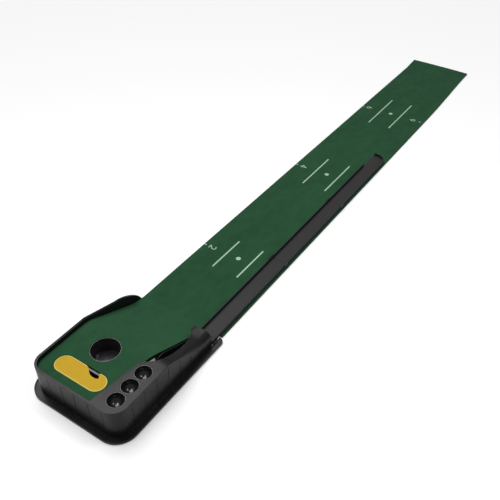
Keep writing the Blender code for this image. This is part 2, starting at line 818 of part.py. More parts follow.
def cut_lower_space(housing):
    """Hollow the housing below the deck's ledge, down to the floor."""
    below = strip_solid(
        "lower_space",
        ramp_runs(FLANGE_WIDTH + WALL_THICKNESS, BASE_LENGTH + PAST),
        lambda run: -inner_side(run),
        inner_side,
        lambda run: -PAST,
        lambda run: max(deck_underside(run) - GAP - LEDGE_THICKNESS, NUDGE),
        smooth=False,
    )
    cut(housing, below)


def shoulder_runs(start, stop):
    """Stations along the shoulder, close together where it falls."""
    stations = corner_runs() + steps(CUP_RUN - CUP_BORE, SHOULDER_FALL_RUN, 4)
    return between(start, stations + steps(SHOULDER_FALL_RUN, HOOD_START_RUN, 12)[1:], stop)


def shape_shoulder(housing):
    """Round the shoulder off from above and hollow it from below."""
    rings = []
    for run in shoulder_runs(FLANGE_WIDTH + WALL_THICKNESS, HOOD_END_RUN + PAST):
        left, right = border_x(run) + SKIRT_THICKNESS, inner_side(run) + NUDGE / 4
        ring = shoulder_surface(run, left, right, SHOULDER_THICKNESS)
        rings.append((run, ring + [(right, -PAST - NUDGE), (left, -PAST - NUDGE)]))
    hollow = loft("shoulder_space", rings)
    rings = []
    for run in shoulder_runs(SHOULDER_FALL_RUN - HOOD_LENGTH, BASE_LENGTH + PAST + 2 * NUDGE):
        left, right = border_x(run) - NUDGE, WALL_X
        skin = shoulder_surface(run, left, right, 0.0)
        over = RIM_HEIGHT + 2 * PAST + NUDGE
        low = skin[-1][1]
        rings.append((run, skin + [(HALF_BASE + PAST, low), (HALF_BASE + PAST, over), (left, over)]))
    cut(housing, hollow, loft("shoulder_trim", rings))


def cut_exit(housing):
    """Open the ball channel to the side of the turf and to the front."""
    front = box(
        "front_clearance",
        BORDER_FRONT_X - LEDGE_WIDTH - NUDGE,
        WALL_X + NUDGE,
        HOOD_END_RUN,
        BASE_LENGTH + PAST,
        -PAST - 2 * NUDGE,
        RIM_HEIGHT,
    )
    eye = prism("channel_eye", eye_outline(), -PAST - 3 * NUDGE, RIM_HEIGHT + 3 * PAST)
    cut(housing, front, eye)


def rest_runs():
    """Run of each ball rest."""
    return [REST_FIRST_RUN + REST_PITCH * index for index in range(REST_COUNT)]


def make_base_housing():
    """Ribbed outer moulding with rim, shoulder, hood and floor flange."""
    housing = make_wall_block()
    join(housing, make_flange())
    cut_deck_area(housing)
    cut_lower_space(housing)
    shape_shoulder(housing)
    cut_exit(housing)
    cut(housing, groove_tool())
    roof = RIM_HEIGHT - SHOULDER_THICKNESS
    holes = []
    for run in rest_runs():
        diameter = 2 * (REST_BOWL_OUTER + LOOSE_GAP)
        holes.append(cylinder("hole", REST_X, run_to_y(run), roof - PAST, RIM_HEIGHT + PAST, diameter, 32))
    cut(housing, gather("rest_openings", holes))
    pilots = []
    for x, run in deck_screw_places():
        top = deck_underside(run) + TUCK
        pilots.append(cylinder("pilot", x, run_to_y(run), top - PAST, top, SCREW_HOLE, 12))
    cut(housing, gather("ledge_pilots", pilots))
    return housing


# ---------------------------------------------------------------- deck

def deck_screw_places():
    """Where the deck is screwed to the ledge, as (x, run)."""
    ledge = LEDGE_WIDTH / 2
    left = -WALL_X + RIM_WIDTH + ledge
    back = DECK_BACK_RUN + ledge
    side_run = RAMP_START_RUN / 2
    return [
        (left, side_run),
        (left, 2 * side_run - SCREW_HEAD),
        (-WALL_X / 2, back),
        (BORDER_BACK_X / 2, back),
        (border_x(side_run) - ledge, side_run),
    ]


def chute_screw_places():
    """Where the cup and the chute hang from the deck, as (x, run)."""
    ring = CUP_BORE / 2 + CUP_WALL + EAR_REACH - EAR_WIDTH / 2
    places = []
    for angle in CUP_EAR_ANGLES:
        turn = math.radians(angle)
        places.append((CUP_X + ring * math.cos(turn), CUP_RUN + ring * math.sin(turn)))
    side = CHUTE_HALF + EAR_REACH - EAR_WIDTH / 2
    places.append((CHUTE_EAR_X, CUP_RUN - side))
    places.append((CHUTE_EAR_X, CUP_RUN + side))
    return places


def add_deck_ribs(deck):
    """Upright ribs that carry the ramp."""
    left, right = MAT_LEFT_X + RIB_SIDE_MARGIN, BORDER_FRONT_X - RIB_SIDE_MARGIN / 2
    for index, x in enumerate(steps(left, right, RIB_COUNT - 1)):
        rib = strip_solid(
            "deck_rib_%d" % index,
            ramp_runs(RIB_START_RUN, HOOD_END_RUN),
            lambda run, x=x: x - RIB_THICKNESS / 2,
            lambda run, x=x: x + RIB_THICKNESS / 2,
            lambda run: RIB_BOTTOM,
            lambda run: deck_underside(run) + DECK_THICKNESS / 2,
            smooth=False,
        )
        join(deck, rib)


def add_deck_bosses(deck):
    """Screw bosses for the cup and the chute."""
    bosses = []
    pilots = []
    for x, run in chute_screw_places():
        y = run_to_y(run)
        level = DECK_UNDERSIDE - BOSS_DROP
        roof = deck_underside(run) + DECK_THICKNESS / 2
        bosses.append(cylinder("boss", x, y, level, roof, BOSS_DIAMETER, 16))
        pilots.append(cylinder("pilot", x, y, level - TUCK, level + BOSS_DROP, SCREW_HOLE, 12))
    join(deck, gather("deck_bosses", bosses))
    cut(deck, gather("boss_pilots", pilots))


def make_ramp_deck():
    """Deck plate and ramp with ribs, bosses and openings."""
    deck = strip_solid(
        "ramp_deck",
        ramp_runs(DECK_BACK_RUN, RAMP_END_RUN),
        deck_left(LOOSE_GAP, DECK_BACK_RUN),
        lambda run: border_x(run) - LOOSE_GAP,
        deck_underside,
        deck_top,
    )
    add_deck_ribs(deck)
    add_deck_bosses(deck)
    low, high = DECK_TOP - PAST, DECK_TOP + PAST
    hole = CUP_BORE + 2 * CUP_WALL + 2 * LOOSE_GAP
    cut(deck, cylinder("deck_cup_hole", CUP_X, run_to_y(CUP_RUN), low, high, hole, 64))
    slot = bunker_outline(LOOSE_GAP - TRAY_LIP)
    cut(deck, prism("deck_bunker_hole", slot, low, high), screw_sinks())
    return deck


def screw_sinks():
    """Countersunk holes for the deck screws."""
    sinks = []
    hole = SCREW_HOLE / 2
    wide = SCREW_HEAD / 2 + GAP
    for x, run in deck_screw_places():
        top = deck_top(run)
        profile = [
            (0.0, top + TUCK), (wide, top + TUCK), (wide, top - 2 * GAP),
            (hole, top - SCREW_HEAD_HEIGHT), (hole, top - 2 * DECK_THICKNESS), (0.0, top - 2 * DECK_THICKNESS),
        ]
        sinks.append(revolve("sink", profile, x, run_to_y(run), 16))
    return gather("deck_sinks", sinks)


# ---------------------------------------------------------------- cup, chute and rests

def make_cup_liner():
    """Cup with a sloping floor and a doorway to the chute."""
    inner = CUP_BORE / 2
    outer = inner + CUP_WALL
    top = mat_surface(CUP_RUN) - CUP_RIM_DROP
    bottom = CUP_FLOOR_LOW - CUP_FLOOR_THICKNESS
    y = run_to_y(CUP_RUN)
    liner = cylinder("cup_liner", CUP_X, y, bottom, top, 2 * outer, 64)
    well = cylinder("cup_well", CUP_X, y, bottom - PAST, top + PAST / 2, 2 * inner, 64)
    slope = [
        (CUP_X - outer, CUP_FLOOR_HIGH), (CUP_X + outer, CUP_FLOOR_LOW),
        (CUP_X + outer, top + PAST), (CUP_X - outer, top + PAST),
    ]
    combine(well, slope_block("cup_slope", slope, y, outer + PAST), "INTERSECT")
    under = [
        (CUP_X - outer - PAST, bottom - 2 * PAST), (CUP_X + outer + PAST, bottom - 2 * PAST),
        (CUP_X + outer + PAST, bottom - TUCK), (CUP_X + outer, bottom - TUCK),
        (CUP_X - outer - PAST, CUP_FLOOR_HIGH - CUP_FLOOR_THICKNESS + NUDGE),
    ]
    door = box(
        "cup_door",
        CUP_X + inner / 2,
        CUP_X + outer + PAST,
        CUP_RUN - CHANNEL_HALF,
        CUP_RUN + CHANNEL_HALF,
        CUP_FLOOR_LOW + CUP_DOOR_SILL,
        CUP_DOOR_TOP,
    )
    cut(liner, well, door, slope_block("cup_underside", under, y, outer + 2 * PAST))
    for index, angle in enumerate(CUP_EAR_ANGLES):
        join(liner, ear("cup_ear_%d" % index, CUP_X, y, outer - CUP_WALL / 2, angle))
    cut(liner, ear_holes("cup_ear_holes", chute_screw_places()[:len(CUP_EAR_ANGLES)]))
    return liner


def slope_block(name, outline, y, half):
    """A solid over an (x, z) outline, drawn out along Y about a centre."""
    count = len(outline)
    vertices = [(x, y - half, z) for x, z in outline] + [(x, y + half, z) for x, z in outline]
    faces = [tuple(range(count)), tuple(range(count, 2 * count))[::-1]]
    for index in range(count):
        after = (index + 1) % count
        faces.append((index, after, after + count, index + count))
    return link_mesh(name, vertices, faces)


def ear(name, x, y, start, angle):
    """A flat mounting ear that points away from a centre."""
    turn = math.radians(angle)
    along = (math.cos(turn), math.sin(turn))
    half = EAR_WIDTH / 2
    tip = start + EAR_REACH - half
    sides = [(start, -half), (tip, -half)]
    ends = [(tip, half), (start, half)]
    outline = [(x + along[0] * d - along[1] * w, y + along[1] * d + along[0] * w) for d, w in sides]
    outline += arc_points(x + along[0] * tip, y + along[1] * tip, half, angle - 75, angle + 75, 8)
    outline += [(x + along[0] * d - along[1] * w, y + along[1] * d + along[0] * w) for d, w in ends]
    return prism(name, outline, EAR_TOP - EAR_THICKNESS, EAR_TOP)


def ear_holes(name, places):
    """Clearance holes through mounting ears."""
    holes = []
    for x, run in places:
        low, high = EAR_TOP - 2 * EAR_THICKNESS, EAR_TOP + EAR_THICKNESS
        holes.append(cylinder("hole", x, run_to_y(run), low, high, SCREW_HOLE, 12))
    return gather(name, holes)


def lane_floor(run):
    """Height of the chute's floor along the side lane."""
    share = min(max((run - CUP_RUN) / (HOOD_END_RUN - CUP_RUN), 0.0), 1.0)
    return CHUTE_CORNER_FLOOR + (CHUTE_EXIT_FLOOR - CHUTE_CORNER_FLOOR) * share


def lane_inner_top(run):
    """Top of the chute's wall beside the turf, kept below the turf."""
    return min(CHUTE_TOP, max(mat_surface(run) - TUCK, TROUGH_TOP))


def lane_outer_top(run):
    """Top of the chute's outer wall, kept under the rounded shoulder."""
    under = shoulder_surface(run, border_x(run), WALL_X - WALL_THICKNESS, SHOULDER_THICKNESS)
    return min(CHUTE_TOP, under[-1][1] - TUCK)


def lane_strip(name, left, right, start, stop, bottom_of, top_of):
    """A straight-sided part of the side lane."""
    return strip_solid(
        name, shoulder_runs(start, stop), lambda run: left, lambda run: right, bottom_of, top_of, smooth=False,
    )


def lane_bottom(run):
    """Underside of the chute's floor along the side lane."""
    return lane_floor(run) - CHUTE_WALL


def wall_foot(run):
    """Where the lane's walls start, just inside its floor."""
    return lane_bottom(run) + NUDGE


def make_return_chute():
    """Chute from the cup across to the side lane and out to the trough."""
    inner, outer = CHANNEL_HALF, CHUTE_HALF
    back, front = CHUTE_BACK_RUN, HOOD_END_RUN
    left, right = LANE_X - outer, LANE_X + outer
    chute = lane_strip("return_chute", left, right, back, front + TUCK, lane_bottom, lane_floor)
    left_wall = lane_strip("lane_left_wall", left, LANE_X - inner, back, front, wall_foot, lane_inner_top)
    right_wall = lane_strip("lane_right_wall", LANE_X + inner, right, back, front, wall_foot, lane_outer_top)
    foot = CHUTE_CORNER_FLOOR - CHUTE_WALL + NUDGE
    back_wall = box("lane_back_wall", left, right, back, back + CHUTE_WALL, foot, CHUTE_TOP)
    join(chute, left_wall, right_wall, back_wall, make_cross_channel())
    passage = box(
        "cross_passage", left - PAST, LANE_X - inner + 2 * CHUTE_WALL,
        CUP_RUN - inner, CUP_RUN + inner, CHUTE_CORNER_FLOOR + 3 * NUDGE, CHUTE_TOP + PAST,
    )
    cut(chute, passage)
    join(chute, lane_strip(
        "exit_tongue", left, right, front - EAR_THICKNESS, CHUTE_EXIT_RUN,
        lambda run: LANE_FLOOR_BOTTOM, lambda run: lane_floor(run) - NUDGE / 2,
    ))
    y = run_to_y(CUP_RUN)
    for label, angle in (("back", 270), ("front", 90)):
        join(chute, ear("chute_ear_" + label, CHUTE_EAR_X, y, outer - CHUTE_WALL / 2, angle))
    cut(chute, ear_holes("chute_ear_holes", chute_screw_places()[len(CUP_EAR_ANGLES):]))
    return chute


def make_cross_channel():
    """Open channel under the deck, from the cup's doorway to the lane."""
    start = CUP_X + CUP_BORE / 2 + CUP_WALL + LOOSE_GAP
    stop = LANE_X - CHUTE_HALF + CHUTE_WALL / 2
    y = run_to_y(CUP_RUN)
    solid = [
        (start, CHUTE_START_FLOOR - CHUTE_WALL), (stop, CHUTE_CORNER_FLOOR - CHUTE_WALL + 2 * NUDGE),
        (stop, CHUTE_TOP), (start, CHUTE_TOP),
    ]
    channel = slope_block("cross_channel", solid, y, CHUTE_HALF)
    hollow = [
        (start - PAST, CHUTE_START_FLOOR + 4 * NUDGE), (stop + PAST, CHUTE_CORNER_FLOOR - 2 * NUDGE),
        (stop + PAST, CHUTE_TOP + PAST), (start - PAST, CHUTE_TOP + PAST),
    ]
    cut(channel, slope_block("cross_hollow", hollow, y, CHANNEL_HALF))
    return channel


def make_ball_rest_tray():
    """Three glossy bowls on one plate under the shoulder."""
    top = RIM_HEIGHT - SHOULDER_THICKNESS - GAP
    side = REST_BOWL_OUTER + REST_PLATE_SIDE
    reach = REST_BOWL_OUTER + REST_PLATE_END
    near, far = rest_runs()[0] - reach, rest_runs()[-1] + reach
    outline = rounded_plate(REST_X, side, near, far, REST_PLATE_CORNER)
    tray = prism("ball_rest_tray", outline, top - REST_PLATE_THICKNESS, top)
    bowls = []
    hollows = []
    for run in rest_runs():
        bowls.append(bowl_solid("bowl", run, REST_BOWL_OUTER, RIM_HEIGHT - NUDGE))
        hollows.append(bowl_solid("hollow", run, REST_BOWL_RADIUS, RIM_HEIGHT + PAST))
    join(tray, gather("rest_bowls", bowls))
    cut(tray, gather("rest_hollows", hollows))
    return tray


def rounded_plate(x, half, near_run, far_run, radius):
    """A plate outline with rounded corners."""
    near, far = run_to_y(near_run), run_to_y(far_run)
    points = arc_points(x - half + radius, near + radius, radius, 180, 270, 5)
    points += arc_points(x + half - radius, near + radius, radius, 270, 360, 5)
    points += arc_points(x + half - radius, far - radius, radius, 0, 90, 5)
    points += arc_points(x - half + radius, far - radius, radius, 90, 180, 5)
    return points


def bowl_solid(name, run, radius, top):
    """A solid bowl shape, round below and straight at the mouth."""
    centre = RIM_HEIGHT - REST_BOWL_SINK
    profile = [(0.0, top), (radius, top), (radius, centre)]
    for angle in steps(0, 90, 6)[1:]:
        turn = math.radians(angle)
        profile.append((radius * math.cos(turn), centre - radius * math.sin(turn)))
    profile[-1] = (0.0, centre - radius)
    return revolve(name, profile, REST_X, run_to_y(run), 24)


# ---------------------------------------------------------------- bunker

def bunker_top():
    """Height of the insert's face, just below the turf."""
    return mat_surface(BUNKER_RUN) - BUNKER_SINK


def tray_lip_top():
    """Height of the lip that the insert rests on."""
    return DECK_TOP + GAP + TRAY_LIP_THICKNESS


def bunker_outline(growth):
    """Slot outline of the bunker, grown or shrunk all round."""
    left = MAT_LEFT_X + BUNKER_LEFT_MARGIN
    right = border_x(BUNKER_RUN) - BUNKER_RIGHT_MARGIN
    length = right - left + 2 * growth
    return stadium((left + right) / 2, BUNKER_RUN, length, BUNKER_WIDTH + 2 * growth)


def make_bunker_tray():
    """Pocket that hangs in the deck and carries the insert."""
    top = tray_lip_top()
    floor = DECK_TOP - TRAY_DEPTH
    tray = prism("bunker_tray", bunker_outline(0.0), DECK_TOP + GAP, top)
    body = prism("tray_body", bunker_outline(-TRAY_LIP), floor, top - NUDGE)
    hollow = prism("tray_hollow", bunker_outline(-TRAY_LIP - TRAY_WALL), floor + TRAY_FLOOR, top + PAST)
    join(tray, body)
    cut(tray, hollow)
    return tray


def notch_outline():
    """Curved finger notch in the insert's edge, hooked at its right end."""
    edge = BUNKER_FRONT_RUN
    left = bunker_centre() + NOTCH_SHIFT - NOTCH_WIDTH
    shape = [
        (0.0, -0.2), (0.0, 0.0), (0.16, 0.14), (0.28, 0.42), (0.40, 0.72), (0.54, 0.92), (0.70, 1.0),
        (0.86, 0.96), (0.96, 0.84), (0.97, 0.68), (0.90, 0.44), (0.86, 0.20), (0.86, -0.2),
    ]
    return [(left + across * NOTCH_WIDTH, run_to_y(edge - down * NOTCH_DEPTH)) for across, down in shape]


def bunker_centre():
    """X of the middle of the bunker."""
    return (MAT_LEFT_X + BUNKER_LEFT_MARGIN + border_x(BUNKER_RUN) - BUNKER_RIGHT_MARGIN) / 2


def make_bunker_insert():
    """Yellow bunker plate that lifts out by its notch."""
    bottom = tray_lip_top() + GAP
    top = bunker_top()
    insert = prism("bunker_insert", bunker_outline(0.0), bottom, top)
    dish = prism("insert_dish", bunker_outline(-BUNKER_DISH_MARGIN), top - BUNKER_DISH_DEPTH, top + PAST)
    notch = prism("insert_notch", notch_outline(), bottom - PAST, top + PAST + NUDGE)
    cut(insert, dish, notch)
    set_pivot(insert, bunker_centre(), run_to_y(BUNKER_RUN), bottom)
    return insert


# ---------------------------------------------------------------- mat

def mat_layer(name, stations, notch_end, low, high):
    """One layer of the mat between two heights above its underside."""
    layer = strip_solid(
        name,
        stations,
        deck_left(LOOSE_GAP, DECK_BACK_RUN),
        lambda run: MAT_RIGHT_X,
        lambda run: mat_underside(run) + low,
        lambda run: mat_underside(run) + high,
    )
    notch = strip_solid(
        name + "_notch",
        [0.0] + steps(BORDER_SHOULDER_RUN, BORDER_FRONT_RUN, 6) + [notch_end],
        lambda run: border_x(run) - LOOSE_GAP,
        lambda run: BASE_WIDTH,
        lambda run: -PAST,
        lambda run: RIM_HEIGHT + PAST,
        smooth=False,
    )
    bottom, top = DECK_TOP - PAST, RIM_HEIGHT
    diameter = CUP_BORE + 2 * CUP_WALL + 2 * LOOSE_GAP
    hole = cylinder(name + "_cup_hole", CUP_X, run_to_y(CUP_RUN), bottom, top, diameter, 64)
    slot = prism(name + "_bunker_hole", bunker_outline(LOOSE_GAP), bottom, top)
    cut(layer, notch, hole, slot)
    return layer


def make_putting_turf():
    """The turf, in one length over the deck and along the floor."""
    stations = ramp_runs(DECK_BACK_RUN, MAT_FLOOR_RUN) + steps(MAT_FLOOR_RUN, TOTAL_LENGTH, 12)[1:]
    return mat_layer("putting_turf", stations, MAT_NOTCH_RUN, TURF_BOTTOM_OFFSET, MAT_THICKNESS)


def make_turf_backing():
    """The backing under the turf, one pad over the base and one on the floor."""
    stations = ramp_runs(DECK_BACK_RUN, MAT_NOTCH_RUN)
    over_base = mat_layer("turf_backing_ramp", stations, TOTAL_LENGTH, 0.0, BACKING_THICKNESS)
    on_floor = box(
        "turf_backing_floor", MAT_LEFT_X, MAT_RIGHT_X, MAT_FLOOR_RUN, TOTAL_LENGTH, 0.0, BACKING_THICKNESS
    )
    return [over_base, on_floor]


def make_mat_tape():
    """Strips that hold the mat to the deck."""
    strips = []
    starts = (
        DECK_BACK_RUN + TAPE_BACK_MARGIN,
        BUNKER_FRONT_RUN + TAPE_BUNKER_MARGIN,
        CUP_RUN + CUP_BORE / 2 + TAPE_CUP_MARGIN,
        RAMP_END_RUN - TAPE_END_MARGIN,
    )
    for index, start in enumerate(starts):
        strips.append(strip_solid(
            "mat_tape_%d" % (index + 1),
            steps(start, start + TAPE_WIDTH, 4),
            lambda run: MAT_LEFT_X + BACK_CORNER_RADIUS / 2 + TAPE_SIDE_MARGIN / 2,
            lambda run, start=start: border_x(start) - TAPE_SIDE_MARGIN,
            lambda run: deck_top(run) + GAP,
            lambda run: deck_top(run) + GAP + TAPE_THICKNESS,
        ))
    return strips


# ---------------------------------------------------------------- trough

def section_start(index):
    """Run at which a trough section begins."""
    return TROUGH_START_RUN + SECTION_PITCH * index


def channel_outline(half, wall):
    """Cross-section of a trough with skirts, as (x, z) about the lane's axis."""
    inner = half - wall
    return [
        (-half, SOCKET_BOTTOM), (-inner, SOCKET_BOTTOM), (-inner, LANE_FLOOR_BOTTOM),
        (inner, LANE_FLOOR_BOTTOM), (inner, SOCKET_BOTTOM), (half, SOCKET_BOTTOM),
        (half, TROUGH_TOP), (inner, TROUGH_TOP), (inner, LANE_FLOOR_TOP),
        (-inner, LANE_FLOOR_TOP), (-inner, TROUGH_TOP), (-half, TROUGH_TOP),
    ]


def lane_prism(name, outline, start, stop):
    """A cross-section about the lane's axis carried between two runs."""
    rings = []
    for run in (start, stop):
        rings.append((run, [(LANE_X + side, z) for side, z in outline]))
    return loft(name, rings)


def lane_box(name, half, start, stop, bottom, top):
    """A block centred on the lane between two runs."""
    return box(name, LANE_X - half, LANE_X + half, start, stop, bottom, top)


def make_trough(index, name):
    """One trough section: wide socket, channel and a plate for the grip strip."""
    start = section_start(index)
    body = start + SOCKET_LENGTH
    stop = body + SECTION_PITCH - TONGUE_GAP
    last = index == len(SECTION_NAMES) - 1
    end = stop - HOOK_LENGTH if last else stop
    trough = lane_prism(name, channel_outline(TROUGH_HALF, TROUGH_WALL), body, end)
    if not last:
        cut(trough, lane_box(
            name + "_tongue_relief", SOCKET_HALF, stop - SOCKET_LENGTH - TUCK, stop + TUCK,
            SOCKET_BOTTOM - TUCK, LANE_FLOOR_BOTTOM,
        ))
    outer = SOCKET_HALF + SOCKET_WALL
    top = TROUGH_TOP + SOCKET_RISE
    join(trough, lane_box(name + "_socket", outer, start, body + TROUGH_WALL, SOCKET_BOTTOM, top))
    hollow = lane_box(
        name + "_socket_hollow", SOCKET_HALF, start - TUCK, body, SOCKET_BOTTOM + TROUGH_FLOOR, top + PAST,
    )
    lane = lane_box(
        name + "_lane_hollow", TROUGH_HALF - TROUGH_WALL, body - TUCK, body + 2 * TROUGH_WALL,
        LANE_FLOOR_TOP, top + PAST + NUDGE,
    )
    cut(trough, hollow, lane)
    middle = grip_run(index)
    join(trough, lane_box(
        name + "_grip_plate", GRIP_WIDTH / 2, middle - GRIP_LENGTH / 2, middle + GRIP_LENGTH / 2,
        SOCKET_BOTTOM, LANE_FLOOR_BOTTOM + TROUGH_FLOOR / 2,
    ))
    if last:
        add_hook(trough, end, stop)
    set_pivot(trough, LANE_X, run_to_y(start), SOCKET_BOTTOM)
    return trough


def add_hook(trough, begin, stop):
    """End wall that turns the ball out over the turf on the left."""
    begin -= NUDGE
    floor = prism("hook_floor", hook_floor_outline(begin, stop), LANE_FLOOR_BOTTOM, LANE_FLOOR_TOP)
    wall = prism("hook_wall", hook_wall_outline(begin, stop), SOCKET_BOTTOM, TROUGH_TOP)
    join(trough, floor, wall)
    opening = box(
        "hook_opening", LANE_X - TROUGH_HALF - PAST, LANE_X - TROUGH_HALF + TROUGH_WALL,
        stop - HOOK_OPENING, stop + PAST, LANE_FLOOR_TOP, TROUGH_TOP + PAST,
    )
    cut(trough, opening)


def hook_curve(begin, stop, offset, count=14):
    """Points on the turning wall, offset inward from its outer face."""
    centre_x = LANE_X - TROUGH_HALF * HOOK_CENTRE_SHARE
    radius_x = LANE_X + TROUGH_HALF - centre_x - offset
    radius_y = stop - begin - offset
    points = []
    for angle in steps(0, HOOK_SWEEP, count):
        turn = math.radians(angle)
        points.append((centre_x + radius_x * math.cos(turn), run_to_y(begin + radius_y * math.sin(turn))))
    return points


def hook_wall_outline(begin, stop):
    """Plan of the turning wall."""
    outer = hook_curve(begin, stop, 0.0)
    inner = hook_curve(begin, stop, TROUGH_WALL)
    y = run_to_y(begin - TUCK)
    edge = LANE_X + TROUGH_HALF
    return [(edge - NUDGE, y)] + outer + inner[::-1] + [(edge - TROUGH_WALL + NUDGE, y)]


def hook_floor_outline(begin, stop):
    """Plan of the floor inside the turning wall."""
    y = run_to_y(begin - TUCK)
    return [(LANE_X - TROUGH_HALF, y), (LANE_X + TROUGH_HALF - TUCK, y)] + hook_curve(begin, stop, TROUGH_WALL / 2)


def grip_run(index):
    """Run of the grip plate in the middle of a section."""
    return section_start(index) + SOCKET_LENGTH + (SECTION_PITCH - SOCKET_LENGTH) / 2


def make_grips(index, name):
    """Hook-tape strips under a trough section, where it lies on the flat mat."""
    places = {"socket": section_start(index) + SOCKET_LENGTH / 2, "middle": grip_run(index)}
    half = GRIP_LENGTH / 2 - GRIP_MARGIN
    bottom = MAT_THICKNESS + GAP
    strips = []
    for place, run in places.items():
        if run - half > MAT_NOTCH_RUN:
            strips.append(lane_box(
                name + "_" + place, GRIP_WIDTH / 2 - GRIP_MARGIN, run - half, run + half,
                bottom, bottom + GRIP_THICKNESS,
            ))
    return strips


# ---------------------------------------------------------------- fasteners and feet

def make_deck_screws():
    """Countersunk screws from the deck into the ledge."""
    screws = []
    head, shank, tip = SCREW_HEAD / 2, SCREW_SHANK / 2, SCREW_TIP / 2
    for index, (x, run) in enumerate(deck_screw_places()):
        top = deck_top(run) - GAP
        end = top - DECK_SCREW_LENGTH
        profile = [
            (0.0, top), (head, top), (head, top - GAP), (shank, top - SCREW_HEAD_HEIGHT),
            (shank, end + SCREW_TIP), (tip, end), (0.0, end),
        ]
        screws.append(revolve("deck_screw_%d" % (index + 1), profile, x, run_to_y(run), 12))
    return screws


def make_chute_screws():
    """Pan-head screws that hang the cup and the chute from the deck."""
    screws = []
    head, shank, tip = SCREW_HEAD / 2, SCREW_SHANK / 2, SCREW_TIP / 2
    seat = EAR_TOP - EAR_THICKNESS - GAP
    end = seat + CHUTE_SCREW_LENGTH
    for index, (x, run) in enumerate(chute_screw_places()):
        profile = [
            (0.0, seat - SCREW_HEAD_HEIGHT), (head - SCREW_TIP / 2, seat - SCREW_HEAD_HEIGHT),
            (head, seat - SCREW_HEAD_HEIGHT + SCREW_TIP), (head, seat), (shank, seat),
            (shank, end - SCREW_TIP), (tip, end), (0.0, end),
        ]
        screws.append(revolve("chute_screw_%d" % (index + 1), profile, x, run_to_y(run), 12))
    return screws


def make_rubber_feet():
    """Round self-adhesive feet under the flange."""
    side = HALF_BASE - FLANGE_WIDTH / 2
    front = BASE_LENGTH - FOOT_FRONT_MARGIN
    places = [(-side, FOOT_BACK_RUN), (-side, front), (side, FOOT_BACK_RUN), (side, front)]
    places += [(-FOOT_BACK_X, FLANGE_WIDTH / 2), (FOOT_BACK_X, FLANGE_WIDTH / 2)]
    feet = []
    for index, (x, run) in enumerate(places):
        name = "rubber_foot_%d" % (index + 1)
        feet.append(cylinder(name, x, run_to_y(run), 0.0, FOOT_THICKNESS, FOOT_DIAMETER, 20))
    return feet


# ---------------------------------------------------------------- assembly

def paint(pieces):
    """Give each piece the material of its kind."""
    materials = make_materials()
    for piece in pieces:
        piece.data.materials.clear()
        for kind, material in materials.items():
            if piece.name.startswith(kind):
                piece.data.materials.append(material)


def build():
    """Make every piece of the putting mat."""
    clear_scene()
    pieces = [
        make_base_housing(),
        make_ramp_deck(),
        make_ball_rest_tray(),
        make_cup_liner(),
        make_return_chute(),
        make_bunker_tray(),
        make_bunker_insert(),
        make_putting_turf(),
    ]
    pieces += make_turf_backing()
    pieces += make_deck_screws()
    pieces += make_chute_screws()
    pieces += make_rubber_feet()
    pieces += make_mat_tape()
    for index, label in enumerate(SECTION_NAMES):
        pieces.append(make_trough(index, "trough_" + label))
        pieces += make_grips(index, "grip_" + label)
    paint(pieces)


build()
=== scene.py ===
"""Finished surfaces of a practice putting mat.

Metres.  +Z is up, +Y runs from the cup end to the far end of the mat and +X is
the side of the return trough.  Pieces are placed by the boxes and points of the
modelled frame, and the printed marks by their distance from its back edge.
"""

import json
import math

import bpy
import numpy as np
from bpy.props import FloatProperty, FloatVectorProperty, PointerProperty
from mathutils import Matrix, Vector

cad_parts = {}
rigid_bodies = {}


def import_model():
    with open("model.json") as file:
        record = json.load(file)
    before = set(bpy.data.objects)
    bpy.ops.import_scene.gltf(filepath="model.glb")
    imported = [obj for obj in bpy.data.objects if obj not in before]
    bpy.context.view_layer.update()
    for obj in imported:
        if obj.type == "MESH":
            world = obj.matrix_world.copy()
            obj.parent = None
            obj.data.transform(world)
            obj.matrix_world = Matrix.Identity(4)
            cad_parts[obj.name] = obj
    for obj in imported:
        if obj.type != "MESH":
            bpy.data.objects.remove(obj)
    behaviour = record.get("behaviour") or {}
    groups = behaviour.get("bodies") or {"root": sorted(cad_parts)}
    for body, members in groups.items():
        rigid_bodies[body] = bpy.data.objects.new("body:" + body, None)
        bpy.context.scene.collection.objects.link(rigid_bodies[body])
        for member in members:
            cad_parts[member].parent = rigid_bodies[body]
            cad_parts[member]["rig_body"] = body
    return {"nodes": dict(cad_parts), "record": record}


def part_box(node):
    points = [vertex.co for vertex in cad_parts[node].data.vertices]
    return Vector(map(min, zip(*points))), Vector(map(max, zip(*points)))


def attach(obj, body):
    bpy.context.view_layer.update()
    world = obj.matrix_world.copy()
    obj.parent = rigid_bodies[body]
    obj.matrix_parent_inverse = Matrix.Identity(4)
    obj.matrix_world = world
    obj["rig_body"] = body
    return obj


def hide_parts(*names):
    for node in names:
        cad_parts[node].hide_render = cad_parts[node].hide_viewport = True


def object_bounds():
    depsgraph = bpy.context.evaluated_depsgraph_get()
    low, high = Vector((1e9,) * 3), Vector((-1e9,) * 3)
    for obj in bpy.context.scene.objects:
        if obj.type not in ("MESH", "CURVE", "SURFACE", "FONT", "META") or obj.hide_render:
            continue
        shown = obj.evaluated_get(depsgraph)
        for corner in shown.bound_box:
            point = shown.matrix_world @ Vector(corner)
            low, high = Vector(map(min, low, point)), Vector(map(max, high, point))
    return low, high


bl_info = {
    "name": "Practice putting mat",
    "version": (1, 0, 0),
    "blender": (4, 5, 0),
    "location": "3D View > Sidebar > Putting mat",
    "description": "Turf, printed marks, moulded base and return trough of a practice putting mat",
    "category": "Object",
}

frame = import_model()
NODES = frame["nodes"]
CAD_LOW, CAD_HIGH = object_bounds()
BACK = CAD_LOW[1]
SLOTS = {part["node"]: part["material_slot"] for part in frame["record"]["subparts"]}


# ---------------------------------------------------------------- settings

def length(name, description, default):
    """A length setting in metres."""
    return FloatProperty(name=name, description=description, default=default, unit="LENGTH", precision=5)


